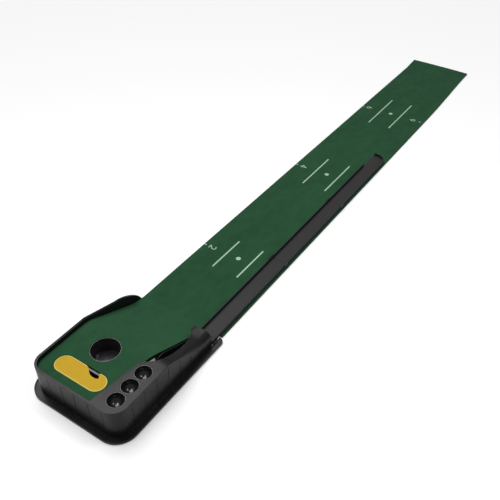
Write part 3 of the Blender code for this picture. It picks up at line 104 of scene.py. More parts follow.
def colour(name, description, default):
    """A colour setting."""
    return FloatVectorProperty(
        name=name, description=description, default=default, subtype="COLOR", size=3, min=0.0, max=1.0
    )


class PuttingMatSizes(bpy.types.PropertyGroup):
    """Sizes of the fabric and of what is printed on it."""

    row_step: length("Ramp row step", "Distance between rows of the turf on the ramp", 0.003)
    floor_step: length("Floor row step", "Distance between rows of the turf on the floor", 0.0075)
    edge_roll: length("Edge roll", "How far the turf rounds down at its cut edges", 0.0009)
    far_lift: length("Far corner lift", "How far the far left corner curls up", 0.0070)
    far_drift: length("Far edge drift", "How far the far right corner pulls in", 0.0100)
    dot_size: length("Dot diameter", "Diameter of a distance dot", 0.0165)
    line_width: length("Guide line width", "Width of the paired guide lines", 0.0052)
    line_spread: length("Guide line spread", "Distance between the paired guide lines", 0.0944)
    digit_height: length("Digit height", "Height of a distance number", 0.0260)
    digit_width: length("Digit width", "Width of a distance number", 0.0170)
    digit_stroke: length("Digit stroke", "Stroke width of a distance number", 0.0033)
    ink_rise: length("Ink thickness", "How far the print stands on the nap", 0.00018)


class PuttingMatColours(bpy.types.PropertyGroup):
    """Colours of the materials."""

    turf: colour("Turf", "Main colour of the nap", (0.0215, 0.0810, 0.0355))
    turf_dark: colour("Turf shade", "Colour of the nap where it lies flat", (0.0120, 0.0500, 0.0225))
    print_ink: colour("Print", "Colour of the printed marks", (0.46, 0.66, 0.50))
    housing: colour("Housing", "Colour of the moulded base", (0.0085, 0.0085, 0.0090))
    trough: colour("Trough", "Colour of the return trough", (0.0180, 0.0165, 0.0180))
    gloss: colour("Gloss parts", "Colour of the ball rests and the cup", (0.0110, 0.0110, 0.0125))
    insert: colour("Bunker insert", "Colour of the bunker insert", (0.540, 0.335, 0.010))
    # Paler yellow painted on the insert's raised rim: a painted highlight.
    insert_rim_highlight: colour("Insert rim", "Colour of the insert's pale rim", (0.620, 0.500, 0.110))


def sizes():
    """The size settings of this scene."""
    return bpy.context.scene.putting_mat_sizes


def colours():
    """The colour settings of this scene."""
    return bpy.context.scene.putting_mat_colours


# ---------------------------------------------------------------- surfaces

def smooth(value):
    """Rises from 0 to 1 over the unit interval, level at both ends: three
    squares less two cubes of the clipped value."""
    value = np.clip(value, 0.0, 1.0)
    return value * value * (3.0 - 2.0 * value)


def node_points(name):
    """All vertices of a modelled piece as rows of x, y, z."""
    mesh = NODES[name].data
    flat = np.empty(len(mesh.vertices) * 3, np.float32)
    mesh.vertices.foreach_get("co", flat)
    return flat.reshape(-1, 3).astype(float)


def extreme_by_y(name, axis, sign):
    """Outermost value of one axis at each distinct y of a modelled piece."""
    points = node_points(name)
    stations, place = np.unique(np.round(points[:, 1], 5), return_inverse=True)
    edge = np.full(len(stations), -np.inf)
    np.maximum.at(edge, place.reshape(-1), sign * points[:, axis])
    return stations, sign * edge


TURF_LOW, TURF_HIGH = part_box("putting_turf")
TURF_TOP = extreme_by_y("putting_turf", 2, 1)
RAMP_PAD_LOW, RAMP_PAD_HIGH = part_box("turf_backing_ramp")
FLOOR_PAD_LOW, FLOOR_PAD_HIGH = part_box("turf_backing_floor")
PAD_THICKNESS = FLOOR_PAD_HIGH.z - FLOOR_PAD_LOW.z
PAD_GAP = 0.0003
TURF_THICKNESS = TURF_HIGH.z - RAMP_PAD_HIGH.z - PAD_GAP
CORNER_RADIUS = 0.0349
EDGE_REACH = 0.0022
CURL_REACH = 0.120
DRIFT_REACH = 0.55
BOW_REACH = 0.10
BOW_DEPTH = 0.0035
CUP_HOLE_RADIUS = 0.0423
SLOT_SPARE = 0.0009
CUT_ABOVE = 0.05
CUT_BELOW = 0.02

INK_SINK = 0.0006
MARK_UNIT = 0.6096
FIRST_MARK = BACK + 0.7475
MARK_OFFSET = -0.0085
LINE_REACHES = ((0.0780, 0.0760), (0.1050, 0.1030), (0.1290, 0.1290))
TICK_LENGTH = 0.0095
TICK_WIDTH = 0.0045
MARK_SIDES = ((1, TURF_LOW.x, 0.0006, 0.0355), (-1, TURF_HIGH.x, 0.0125, 0.0520))


def nap_height(y):
    """Height of the turf's face at a distance along the mat: straight between
    the modelled stations."""
    return np.interp(y, TURF_TOP[0], TURF_TOP[1])


def far_curl(x, y):
    """How far the far end has curled: a smooth rise over its last stretch,
    greatest at the left corner and a fifth of that at the right."""
    across = (x - TURF_LOW.x) / (TURF_HIGH.x - TURF_LOW.x)
    near_end = smooth(1.0 - (TURF_HIGH.y - y) / CURL_REACH)
    return sizes().far_lift * near_end * (1.0 - 0.80 * across)


def slack(x, y):
    """Gentle unevenness of cloth that was rolled up: two crossed sine waves of
    under half a millimetre that start beyond the ramp."""
    on_floor = smooth((y - FLOOR_PAD_LOW.y - 0.03) / 0.15)
    long_wave = 0.00022 * (1 + np.sin(y * 9.1 + 0.6))
    cross_wave = 0.00010 * (1 + np.sin(x * 31.0 + y * 3.7))
    return on_floor * (long_wave + cross_wave)


def sheet_rows():
    """Distances of the turf's rows along the mat, close on the ramp."""
    corner = FLOOR_PAD_LOW.y
    fold = np.arange(TURF_LOW.y, corner, sizes().row_step)
    flat = np.arange(corner, TURF_HIGH.y - 0.004, sizes().floor_step)
    tail = TURF_HIGH.y - np.array([0.0024, 0.0009, 0.0])
    return np.concatenate([fold, flat, tail])


def left_edge(y):
    """Left edge of the mat: straight, and a quarter circle at the back corner."""
    inside = np.clip(CORNER_RADIUS - (y - TURF_LOW.y), 0.0, CORNER_RADIUS)
    return TURF_LOW.x + CORNER_RADIUS - np.sqrt(CORNER_RADIUS * CORNER_RADIUS - inside * inside)


def border_edge(y):
    """Right edge of the mat inside the base: the outermost modelled x up to the
    foot of the ramp, which only ever grows, so lower stations are left out."""
    stations, edge = extreme_by_y("turf_backing_ramp", 0, 1)
    keep = edge >= np.maximum.accumulate(edge) - 0.00001
    return np.interp(y, stations[keep], edge[keep])


def edge_offsets(width, count):
    """Column places over a width: three close together at each edge and even
    steps between them."""
    close = np.array([0.0, 0.0007, EDGE_REACH])
    middle = np.linspace(0.0060, width - 0.0060, count)
    return np.concatenate([close, middle, width - close[::-1]])


def mask_mesh(name, x, y, top, bottom, keep):
    """A closed sheet over the kept cells of a grid: the upper face, the lower
    face turned over, and a wall along every side where kept meets not kept."""
    rows, columns = x.shape
    count = rows * columns
    index = np.arange(count).reshape(rows, columns)
    a, b = index[:-1, :-1], index[:-1, 1:]
    c, d = index[1:, 1:], index[1:, :-1]
    padded = np.zeros((rows + 1, columns + 1), bool)
    padded[1:-1, 1:-1] = keep
    upper = np.stack([a, b, c, d], -1)[keep]
    lower = upper[:, ::-1] + count
    sides = [
        (a, b, keep & ~padded[:-2, 1:-1]),
        (b, c, keep & ~padded[1:-1, 2:]),
        (c, d, keep & ~padded[2:, 1:-1]),
        (d, a, keep & ~padded[1:-1, :-2]),
    ]
    walls = [np.stack([q[m], p[m], p[m] + count, q[m] + count], -1) for p, q, m in sides]
    faces = np.concatenate([upper, lower] + walls)
    points = np.stack([x.ravel(), y.ravel(), top.ravel()], -1)
    under = np.stack([x.ravel(), y.ravel(), bottom.ravel()], -1)
    return grid_object(name, np.concatenate([points, under]), faces)


def grid_object(name, points, faces, shade_smooth=True):
    """A mesh object at the origin from arrays of points and of quads, with
    points that no face uses left out."""
    used, place = np.unique(faces, return_inverse=True)
    points = points[used]
    faces = place.reshape(faces.shape)
    mesh = bpy.data.meshes.new(name)
    mesh.vertices.add(len(points))
    mesh.vertices.foreach_set("co", points.astype(np.float32).ravel())
    mesh.loops.add(faces.size)
    mesh.loops.foreach_set("vertex_index", faces.astype(np.int32).ravel())
    mesh.polygons.add(len(faces))
    mesh.polygons.foreach_set("loop_start", np.arange(0, faces.size, 4, dtype=np.int32))
    mesh.update(calc_edges=True)
    mesh.validate()
    mesh.polygons.foreach_set("use_smooth", np.full(len(mesh.polygons), shade_smooth))
    item = bpy.data.objects.new(name, mesh)
    bpy.context.scene.collection.objects.link(item)
    return item


def disc_cutter(name, x, y, radius, low, high, count=72):
    """An upright closed cylinder."""
    turn = np.linspace(0, 2 * np.pi, count, endpoint=False)
    return ring_solid(name, x + radius * np.cos(turn), y + radius * np.sin(turn), low, high)


def stadium_cutter(name, x, y, half_length, radius, low, high, count=25):
    """An upright closed slot with round ends: two half circles joined."""
    right = np.linspace(-np.pi / 2, np.pi / 2, count)
    left = np.linspace(np.pi / 2, 3 * np.pi / 2, count)
    reach = half_length - radius
    edge_x = np.concatenate([x + reach + radius * np.cos(right), x - reach + radius * np.cos(left)])
    edge_y = np.concatenate([y + radius * np.sin(right), y + radius * np.sin(left)])
    return ring_solid(name, edge_x, edge_y, low, high)


def ring_solid(name, edge_x, edge_y, low, high):
    """A closed upright solid over a round outline, its flat ends filled."""
    count = len(edge_x)
    lower = np.stack([edge_x, edge_y, np.full(count, low)], -1)
    upper = np.stack([edge_x, edge_y, np.full(count, high)], -1)
    now = np.arange(count)
    after = (now + 1) % count
    walls = np.stack([now, after, after + count, now + count], -1)
    mesh = bpy.data.meshes.new(name)
    ends = [tuple(now[::-1].tolist()), tuple((now + count).tolist())]
    mesh.from_pydata(np.concatenate([lower, upper]).tolist(), [], walls.tolist() + ends)
    mesh.update()
    item = bpy.data.objects.new(name, mesh)
    bpy.context.scene.collection.objects.link(item)
    return item


def take_away(item, cutter):
    """Cut a solid out of a piece and drop the cutter."""
    modifier = item.modifiers.new("cut", "BOOLEAN")
    modifier.operation = "DIFFERENCE"
    modifier.solver = "EXACT"
    modifier.object = cutter
    bake(item)
    bpy.data.objects.remove(cutter, do_unlink=True)


def bake(item):
    """Put the result of a piece's modifiers into its mesh."""
    graph = bpy.context.evaluated_depsgraph_get()
    made = bpy.data.meshes.new_from_object(item.evaluated_get(graph))
    item.modifiers.clear()
    item.data = made


def mat_sheet(name, face_drop, thickness, columns):
    """One layer of the mat: a grid over the deck, down the ramp and along the
    floor, whose face is the modelled height less a drop, with a far end that
    has curled and pulled in, a notch for the base, a cup hole and a slot."""
    rows = sheet_rows()
    border = border_edge(rows)[:, None]
    left = left_edge(rows)[:, None]
    notch_x = float(RAMP_PAD_HIGH.x)
    inner = edge_offsets(notch_x - TURF_LOW.x, columns)
    share = inner / inner[-1]
    outer = notch_x + edge_offsets(TURF_HIGH.x - notch_x, columns // 4)[3:]
    x_inner = left + (border - left) * share[None, :]
    x = np.concatenate([x_inner, np.repeat(outer[None, :], len(rows), 0)], 1)
    on_floor = rows >= FLOOR_PAD_LOW.y
    x[on_floor, : len(inner)] = TURF_LOW.x + inner
    y = np.repeat(rows[:, None], x.shape[1], 1)
    keep = np.ones((len(rows) - 1, x.shape[1] - 1), bool)
    keep[~on_floor[:-1], len(inner) - 1:] = False
    height = nap_height(y) - face_drop + slack(x, y) + far_curl(x, y)
    to_edge = np.minimum(x - TURF_LOW.x, TURF_HIGH.x - x)
    to_edge = np.minimum(to_edge, TURF_HIGH.y - y)
    rolled = sizes().edge_roll * (1.0 - np.clip(to_edge / EDGE_REACH, 0.0, 1.0)) ** 2
    across = (x - TURF_LOW.x) / (TURF_HIGH.x - TURF_LOW.x)
    pulled = sizes().far_drift * across * smooth(1.0 - (TURF_HIGH.y - y) / DRIFT_REACH)
    bow = BOW_DEPTH * (2 * across - 1) ** 2 * smooth(1.0 - (TURF_HIGH.y - y) / BOW_REACH)
    base = height - thickness
    item = mask_mesh(name, x - pulled, y - bow, height - rolled, base, keep)
    cup_low, cup_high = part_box("cup_liner")
    half_way = (cup_low + cup_high).z / 2
    cup_x, cup_y = cup_bore_centre()
    hole = disc_cutter("cup_cutter", cup_x, cup_y, CUP_HOLE_RADIUS, half_way, cup_high.z + CUT_ABOVE)
    take_away(item, hole)
    low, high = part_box("bunker_insert")
    centre = (low + high) / 2
    slot = stadium_cutter(
        "slot_cutter", centre.x, centre.y, (high.x - low.x) / 2 + SLOT_SPARE,
        (high.y - low.y) / 2 + SLOT_SPARE, low.z - CUT_BELOW, high.z + CUT_ABOVE,
    )
    take_away(item, slot)
    return item


def cup_bore_centre():
    """Centre of the cup in x and y: the middle of its top rim's box."""
    points = node_points("cup_liner")
    rim = points[points[:, 2] > points[:, 2].max() - 0.0002]
    return (rim.min(0)[:2] + rim.max(0)[:2]) / 2


def ribbon(path, width, rise, sink):
    """A flat printed stroke: a rectangle carried along a path of x, y points,
    square to the path, following the nap."""
    step = np.gradient(path, axis=0)
    step /= np.linalg.norm(step, axis=1)[:, None]
    side = np.stack([-step[:, 1], step[:, 0]], -1)
    left = path + side * width / 2
    right = path - side * width / 2
    points = []
    for edge, lift in ((left, rise), (left, -sink), (right, -sink), (right, rise)):
        level = nap_height(edge[:, 1]) + slack(edge[:, 0], edge[:, 1]) + lift
        points.append(np.column_stack([edge, level]))
    count = len(path)
    points = np.concatenate(points)
    now = np.arange(count - 1)
    faces = []
    for corner in range(4):
        one = now + corner * count
        two = now + (corner + 1) % 4 * count
        faces.append(np.stack([one, one + 1, two + 1, two], -1))
    corners = np.arange(4) * count
    ends = np.array([corners, corners[::-1] + count - 1])
    return points, np.concatenate(faces + [ends])


def dot(x, y, diameter, rise, sink, rings=8, count=48):
    """A printed dot: rings from the middle outward, then a short wall down."""
    turn = np.linspace(0, 2 * np.pi, count, endpoint=False)
    radii = np.concatenate([np.linspace(0.0, 1.0, rings + 1)[1:], [1.0]]) * diameter / 2
    lifts = np.concatenate([np.full(rings, rise), [-sink]])
    ring_x = x + radii[:, None] * np.cos(turn)
    ring_y = y + radii[:, None] * np.sin(turn)
    level = nap_height(ring_y) + slack(ring_x, ring_y) + lifts[:, None]
    points = np.stack([ring_x, ring_y, level], -1).reshape(-1, 3)
    now = np.arange(count)
    after = (now + 1) % count
    faces = [
        np.stack([now + r * count, now + (r + 1) * count, after + (r + 1) * count, after + r * count], -1)
        for r in range(rings)
    ]
    middle = np.array([[x, y, nap_height(y) + float(slack(x, y)) + rise], [x, y, nap_height(y) - sink]])
    points = np.concatenate([points, middle])
    top, base = len(points) - 2, len(points) - 1
    last = rings * count
    pairs = now[::2]
    nexts = (pairs + 1) % count
    then = (pairs + 2) % count
    cap = np.stack([np.full(len(pairs), top), pairs, nexts, then], -1)
    foot = np.stack([np.full(len(pairs), base), then + last, nexts + last, pairs + last], -1)
    return points, np.concatenate(faces + [cap, foot])


def arc(x, y, radius_x, radius_y, start, stop, count=20):
    """Points of an oval arc, angles in degrees."""
    turn = np.radians(np.linspace(start, stop, count))
    return np.column_stack([x + radius_x * np.cos(turn), y + radius_y * np.sin(turn)])


def straight(x0, y0, x1, y1, count=8):
    """Evenly spaced points of a straight stroke."""
    share = np.linspace(0, 1, count)
    return np.column_stack([x0 + (x1 - x0) * share, y0 + (y1 - y0) * share])


def digit_strokes(digit):
    """Strokes of a number in a unit box, x to the right and y up."""
    if digit == 2:
        hook = arc(0.50, 0.70, 0.42, 0.26, 160, -35)
        return [np.concatenate([hook, straight(0.70, 0.42, 0.10, 0.04)]), straight(0.04, 0.05, 0.96, 0.05)]
    if digit == 4:
        slant = straight(0.66, 1.0, 0.04, 0.32)
        return [slant, straight(0.0, 0.30, 1.0, 0.30), straight(0.70, 1.0, 0.70, 0.0)]
    stem = arc(0.98, 0.36, 0.92, 0.62, 125, 180)
    return [stem, arc(0.50, 0.30, 0.44, 0.27, 0, 360, 40)]


def merge_shells(name, shells):
    """One object from several closed shells."""
    points, faces, start = [], [], 0
    for shell_points, shell_faces in shells:
        points.append(shell_points)
        faces.append(shell_faces + start)
        start += len(shell_points)
    return grid_object(name, np.concatenate(points), np.concatenate(faces), shade_smooth=False)


# ---------------------------------------------------------------- shader parts

def new_group(name, inputs, outputs):
    """An empty shader group with named inputs and outputs."""
    group = bpy.data.node_groups.new(name, "ShaderNodeTree")
    for label, kind, default in inputs:
        socket = group.interface.new_socket(name=label, in_out="INPUT", socket_type=kind)
        socket.default_value = default
    for label, kind in outputs:
        group.interface.new_socket(name=label, in_out="OUTPUT", socket_type=kind)
    return group


def add(tree, kind, values=None, **settings):
    """Add a node, set its properties and fill its input sockets."""
    node = tree.nodes.new(kind)
    for label, value in settings.items():
        setattr(node, label, value)
    for socket, value in (values or {}).items():
        if isinstance(value, bpy.types.NodeSocket):
            tree.links.new(value, node.inputs[socket])
        else:
            node.inputs[socket].default_value = value
    return node


def noise(tree, place, scale, detail=3.0, roughness=0.5):
    """A noise texture's value."""
    node = add(tree, "ShaderNodeTexNoise", {
        "Vector": place, "Scale": scale, "Detail": detail, "Roughness": roughness,
    })
    return node.outputs["Fac"]


def ramp(tree, value, low, high, to_low=0.0, to_high=1.0):
    """A value carried from one range to another and held at the ends."""
    return add(tree, "ShaderNodeMapRange", {
        "Value": value, "From Min": low, "From Max": high, "To Min": to_low, "To Max": to_high,
    }).outputs["Result"]


def mix(tree, share, first, second):
    """A blend of two colours."""
    node = add(tree, "ShaderNodeMix", data_type="RGBA")
    for socket, value in ((node.inputs[0], share), (node.inputs[6], first), (node.inputs[7], second)):
        if isinstance(value, bpy.types.NodeSocket):
            tree.links.new(value, socket)
        else:
            socket.default_value = value
    return node.outputs[2]


def maths(tree, operation, first, second=0.0):
    """One arithmetic step."""
    return add(tree, "ShaderNodeMath", {0: first, 1: second}, operation=operation).outputs[0]


def moulded_group():
    """Moulded plastic: a fine spark-eroded grain, soft blotches left by
    handling, and corners rubbed smoother and painted paler, the paler
    edges partly wear and partly a painted highlight."""
    group = new_group("moulded_plastic", [
        ("Colour", "NodeSocketColor", (0.02, 0.02, 0.02, 1)),
        ("Worn and highlight colour", "NodeSocketColor", (0.08, 0.08, 0.08, 1)),
        ("Roughness", "NodeSocketFloat", 0.4),
        ("Grain scale", "NodeSocketFloat", 1500.0),
        ("Grain depth", "NodeSocketFloat", 0.1),
        ("Edge radius", "NodeSocketFloat", 0.001),
        ("Wear", "NodeSocketFloat", 0.5),
    ], [("Colour", "NodeSocketColor"), ("Roughness", "NodeSocketFloat"), ("Normal", "NodeSocketVector")])
    use = add(group, "NodeGroupInput").outputs
    place = add(group, "ShaderNodeTexCoord").outputs["Object"]
    grain = noise(group, place, use["Grain scale"], 2.0)
    blotch = noise(group, place, 16.0, 4.0, 0.6)
    drawn_out = add(group, "ShaderNodeMapping", {"Vector": place, "Scale": (220.0, 9.0, 120.0)})
    streak = noise(group, drawn_out.outputs["Vector"], 1.0, 3.0, 0.6)
    edge = add(group, "ShaderNodeBevel", {"Radius": use["Edge radius"]}, samples=6).outputs["Normal"]
    true_normal = add(group, "ShaderNodeNewGeometry").outputs["Normal"]
    agree = add(group, "ShaderNodeVectorMath", {0: edge, 1: true_normal}, operation="DOT_PRODUCT")
    # Edge mask from the bevel normal: edges are painted toward the paler colour, partly as wear and partly as
    # a painted highlight along them.
    corner = ramp(group, agree.outputs["Value"], 0.995, 0.80)
    rubbed = maths(group, "MULTIPLY", corner, ramp(group, streak, 0.25, 0.65))
    wear_and_highlight = maths(group, "MULTIPLY", rubbed, use["Wear"])
    shade = ramp(group, blotch, 0.30, 0.75, 0.0, 0.16)
    soft = mix(group, shade, use["Colour"], mix(group, 0.25, use["Colour"], use["Worn and highlight colour"]))
    painted = mix(group, wear_and_highlight, soft, use["Worn and highlight colour"])
    blotch_change = ramp(group, blotch, 0.30, 0.75, -0.05, 0.07)
    change = maths(group, "ADD", blotch_change, ramp(group, streak, 0.3, 0.7, -0.03, 0.03))
    handled = maths(group, "ADD", use["Roughness"], change)
    rough = maths(group, "SUBTRACT", handled, maths(group, "MULTIPLY", wear_and_highlight, 0.10))
    bump = add(group, "ShaderNodeBump", {
        "Strength": use["Grain depth"], "Distance": 0.0002, "Height": grain, "Normal": edge})
    add(group, "NodeGroupOutput", {"Colour": painted, "Roughness": rough, "Normal": bump.outputs["Normal"]})
    return group


def nap_group():
    """Short cut nap: fibre speckle of about a millimetre, tufts of a few
    millimetres and broad brushed patches."""
    group = new_group("short_nap", [
        ("Light colour", "NodeSocketColor", (0.03, 0.1, 0.05, 1)),
        ("Dark colour", "NodeSocketColor", (0.01, 0.05, 0.02, 1)),
        ("Patches", "NodeSocketFloat", 0.35),
    ], [("Colour", "NodeSocketColor"), ("Height", "NodeSocketFloat"), ("Fibre", "NodeSocketFloat")])
    use = add(group, "NodeGroupInput").outputs
    place = add(group, "ShaderNodeTexCoord").outputs["Object"]
    fibre = noise(group, place, 950.0, 4.0, 0.7)
    tuft = noise(group, place, 190.0, 3.0, 0.6)
    brushed = add(group, "ShaderNodeMapping", {"Vector": place, "Scale": (1.0, 0.55, 1.0)}).outputs["Vector"]
    patch = noise(group, brushed, 34.0, 4.0, 0.62)
    broad = noise(group, brushed, 7.0, 2.0, 0.5)
    speckle = ramp(group, fibre, 0.30, 0.70)
    clumps = ramp(group, tuft, 0.30, 0.70)
    patchy = ramp(group, patch, 0.32, 0.68, 0.0, 0.6)
    wide = maths(group, "ADD", patchy, ramp(group, broad, 0.35, 0.65, 0.0, 0.4))
    fine = maths(group, "MULTIPLY", speckle, 0.40)
    blend = maths(group, "ADD", fine, maths(group, "MULTIPLY", clumps, 0.25))
    blend = maths(group, "ADD", blend, maths(group, "MULTIPLY", wide, use["Patches"]))
    shown = mix(group, blend, use["Dark colour"], use["Light colour"])
    high = maths(group, "ADD", maths(group, "MULTIPLY", fibre, 0.6), maths(group, "MULTIPLY", tuft, 0.4))
    add(group, "NodeGroupOutput", {"Colour": shown, "Height": high, "Fibre": speckle})
    return group


def group_named(name, maker):
    """A shader group, made the first time it is asked for."""
    return bpy.data.node_groups.get(name) or maker()


def new_material(name):
    """A material with its Principled shader and tree."""
    material = bpy.data.materials.new(name)
    material.use_nodes = True
    tree = material.node_tree
    return material, tree, tree.nodes["Principled BSDF"]


def rgba(values, scale=1.0):
    """A colour with its alpha."""
    return tuple(min(value * scale, 1.0) for value in values) + (1.0,)


def moulded(name, base, roughness, grain=0.12, wear=0.5, wear_and_highlight=3.2, radius=0.0008,
            coat=0.0, shine=0.25, grain_scale=1500.0):
    """A moulded plastic material of the given colour."""
    material, tree, shader = new_material(name)
    skin = add(tree, "ShaderNodeGroup", node_tree=group_named("moulded_plastic", moulded_group))
    skin.inputs["Colour"].default_value = rgba(base)
    # Paler edge colour: partly wear, partly a painted highlight.
    skin.inputs["Worn and highlight colour"].default_value = rgba(base, wear_and_highlight)
    skin.inputs["Roughness"].default_value = roughness
    skin.inputs["Grain scale"].default_value = grain_scale
    skin.inputs["Grain depth"].default_value = grain
    skin.inputs["Edge radius"].default_value = radius
    skin.inputs["Wear"].default_value = wear
    tree.links.new(skin.outputs["Colour"], shader.inputs["Base Color"])
    tree.links.new(skin.outputs["Roughness"], shader.inputs["Roughness"])
    tree.links.new(skin.outputs["Normal"], shader.inputs["Normal"])
    shader.inputs["Specular IOR Level"].default_value = shine
    shader.inputs["Coat Weight"].default_value = coat
    shader.inputs["Coat Roughness"].default_value = 0.08
    return material


def fabric(name, light, dark, patches=0.75, sheen=0.03, bump_depth=0.0012):
    """A napped fabric material."""
    material, tree, shader = new_material(name)
    nap = add(tree, "ShaderNodeGroup", node_tree=group_named("short_nap", nap_group))
    nap.inputs["Light colour"].default_value = rgba(light)
    nap.inputs["Dark colour"].default_value = rgba(dark)
    nap.inputs["Patches"].default_value = patches
    rough = ramp(tree, nap.outputs["Fibre"], 0.0, 1.0, 0.86, 1.0)
    bump = add(tree, "ShaderNodeBump", {
        "Strength": 0.7, "Distance": bump_depth, "Height": nap.outputs["Height"],
    })
    tree.links.new(nap.outputs["Colour"], shader.inputs["Base Color"])
    tree.links.new(rough, shader.inputs["Roughness"])
    tree.links.new(bump.outputs["Normal"], shader.inputs["Normal"])
    shader.inputs["Specular IOR Level"].default_value = 0.06
    shader.inputs["Sheen Weight"].default_value = sheen
    shader.inputs["Sheen Roughness"].default_value = 0.6
    return material


def ink_material():
    """Print on the nap: a pale ink that fibres break through."""
    material, tree, shader = new_material("print_on_turf")
    nap = add(tree, "ShaderNodeGroup", node_tree=group_named("short_nap", nap_group))
    nap.inputs["Light colour"].default_value = rgba(colours().print_ink)
    nap.inputs["Dark colour"].default_value = rgba(colours().print_ink, 0.62)
    place = add(tree, "ShaderNodeTexCoord").outputs["Object"]
    rubbed = ramp(tree, noise(tree, place, 420.0, 4.0, 0.7), 0.56, 0.70, 0.0, 0.75)
    shown = mix(tree, rubbed, nap.outputs["Colour"], rgba(colours().turf, 1.8))
    bump = add(tree, "ShaderNodeBump", {"Strength": 0.6, "Distance": 0.0008, "Height": nap.outputs["Height"]})
    tree.links.new(shown, shader.inputs["Base Color"])
    tree.links.new(ramp(tree, rubbed, 0.0, 1.0, 0.75, 0.95), shader.inputs["Roughness"])
    tree.links.new(bump.outputs["Normal"], shader.inputs["Normal"])
    return material


def insert_material():
    """Yellow bunker plastic: the raised rim painted paler than the sunk face, a painted highlight along it.
    """
    material = moulded("sand_plastic", colours().insert, 0.50, grain=0.35, wear=0.35, wear_and_highlight=1.35,
                       shine=0.12, grain_scale=900.0)
    tree = material.node_tree
    shader = tree.nodes["Principled BSDF"]
    low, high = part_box("bunker_insert")
    place = add(tree, "ShaderNodeTexCoord").outputs["Object"]
    level = add(tree, "ShaderNodeSeparateXYZ", {"Vector": place}).outputs["Z"]
    # Top band of the insert painted paler: a painted highlight on its raised rim.
    rim = ramp(tree, level, high.z - 0.00045, high.z - 0.00015)
    mottle = ramp(tree, noise(tree, place, 120.0, 4.0, 0.65), 0.35, 0.70, 0.0, 0.30)
    skin = shader.inputs["Base Color"].links[0].from_socket
    body = mix(tree, mottle, skin, rgba(colours().insert, 0.72))
    shown = mix(tree, rim, body, rgba(colours().insert_rim_highlight))
    tree.links.new(shown, shader.inputs["Base Color"])
    return material


def metal_material():
    """Plated steel with a little dulling."""
    material, tree, shader = new_material("plated_steel")
    place = add(tree, "ShaderNodeTexCoord").outputs["Object"]
    dull = noise(tree, place, 900.0, 3.0, 0.6)
    tree.links.new(ramp(tree, dull, 0.3, 0.7, 0.22, 0.45), shader.inputs["Roughness"])
    tree.links.new(mix(tree, ramp(tree, dull, 0.3, 0.7), (0.42, 0.42, 0.44, 1), (0.62, 0.62, 0.63, 1)),
                   shader.inputs["Base Color"])
    shader.inputs["Metallic"].default_value = 1.0
    bump = add(tree, "ShaderNodeBump", {"Strength": 0.15, "Distance": 0.0001, "Height": dull})
    tree.links.new(bump.outputs["Normal"], shader.inputs["Normal"])
    return material


def smooth_copy(node, name, sharp_from=32.0):
    """A copy of a modelled piece with its loose triangles merged, so that its
    curves shade smoothly and only real corners stay sharp."""
    mesh = NODES[node].data
    corners = np.empty(len(mesh.loops), np.int32)
    mesh.loops.foreach_get("vertex_index", corners)
    points, place = np.unique(np.round(node_points(node), 6), axis=0, return_inverse=True)
    faces = place.reshape(-1)[corners].reshape(-1, 3)
    whole = (faces[:, 0] != faces[:, 1]) & (faces[:, 1] != faces[:, 2]) & (faces[:, 0] != faces[:, 2])
    made = bpy.data.meshes.new(name)
    made.from_pydata(points.tolist(), [], faces[whole].tolist())
    made.polygons.foreach_set("use_smooth", np.full(len(made.polygons), True))
    made.set_sharp_from_angle(angle=math.radians(sharp_from))
    made.update()
    item = bpy.data.objects.new(name, made)
    bpy.context.scene.collection.objects.link(item)
    return item


def refine(node, name, material):
    """Stand a smoothly shaded copy in for a modelled piece."""
    item = smooth_copy(node, name)
    finish_piece(item, material, NODES[node]["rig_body"], SLOTS[node], node)
    return item


def wear_node(node, material):
    """Give a modelled piece its finished material."""
    item = NODES[node]
    item.data.materials.clear()
    item.data.materials.append(material)


def finish_piece(item, material, body, slot_name, *nodes):
    """Give a new piece its material, its body and the pieces it stands for."""
    item.data.materials.clear()
    item.data.materials.append(material)
    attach(item, body)
    if nodes:
        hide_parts(*nodes)


def nodes_named(start):
    """Modelled pieces whose names begin alike."""
    return sorted(name for name in NODES if name.startswith(start))


# ---------------------------------------------------------------- operators

class PUTTINGMAT_OT_turf(bpy.types.Operator):
    """Lay the turf over the deck, down the ramp and along the floor"""

    bl_idname = "putting_mat.turf"
    bl_label = "Turf"

    def execute(self, context):
        turf = mat_sheet("turf_sheet", 0.0, TURF_THICKNESS, 44)
        material = fabric("green_turf", tuple(colours().turf), tuple(colours().turf_dark))
        finish_piece(turf, material, "base", "turf_fabric", "putting_turf")
        return {"FINISHED"}


class PUTTINGMAT_OT_backing(bpy.types.Operator):
    """Lay the foam backing under the turf"""

    bl_idname = "putting_mat.backing"
    bl_label = "Backing"

    def execute(self, context):
        backing = mat_sheet("backing_sheet", TURF_THICKNESS + PAD_GAP, PAD_THICKNESS, 16)
        material = fabric("foam_backing", (0.042, 0.044, 0.042), (0.020, 0.021, 0.020), 0.2, 0.0, 0.0006)
        finish_piece(backing, material, "base", "backing_rubber", "turf_backing_ramp", "turf_backing_floor")
        return {"FINISHED"}


class PUTTINGMAT_OT_marks(bpy.types.Operator):
    """Print the distance dots, guide lines, ticks and numbers"""

    bl_idname = "putting_mat.marks"
    bl_label = "Printed marks"

    def execute(self, context):
        size = sizes()
        middle = 0.5 * (TURF_LOW.x + TURF_HIGH.x) + MARK_OFFSET
        shells = []
        for step, (before, after) in enumerate(LINE_REACHES):
            y = FIRST_MARK + MARK_UNIT * step
            shells.append(dot(middle, y, size.dot_size, size.ink_rise, INK_SINK))
            for side in (-1, 1):
                x = middle + side * size.line_spread / 2
                path = straight(x, y - before, x, y + after, 24)
                shells.append(ribbon(path, size.line_width, size.ink_rise, INK_SINK))
            for side, start, inset, digit_place in MARK_SIDES:
                tick = straight(start + side * inset, y, start + side * (inset + TICK_LENGTH), y, 4)
                shells.append(ribbon(tick, TICK_WIDTH, size.ink_rise, INK_SINK))
                shells += digit_shells(2 * (step + 1), start + side * digit_place, y, side)
        marks = merge_shells("mat_marks", shells)
        finish_piece(marks, ink_material(), "base", "turf_fabric")
        return {"FINISHED"}


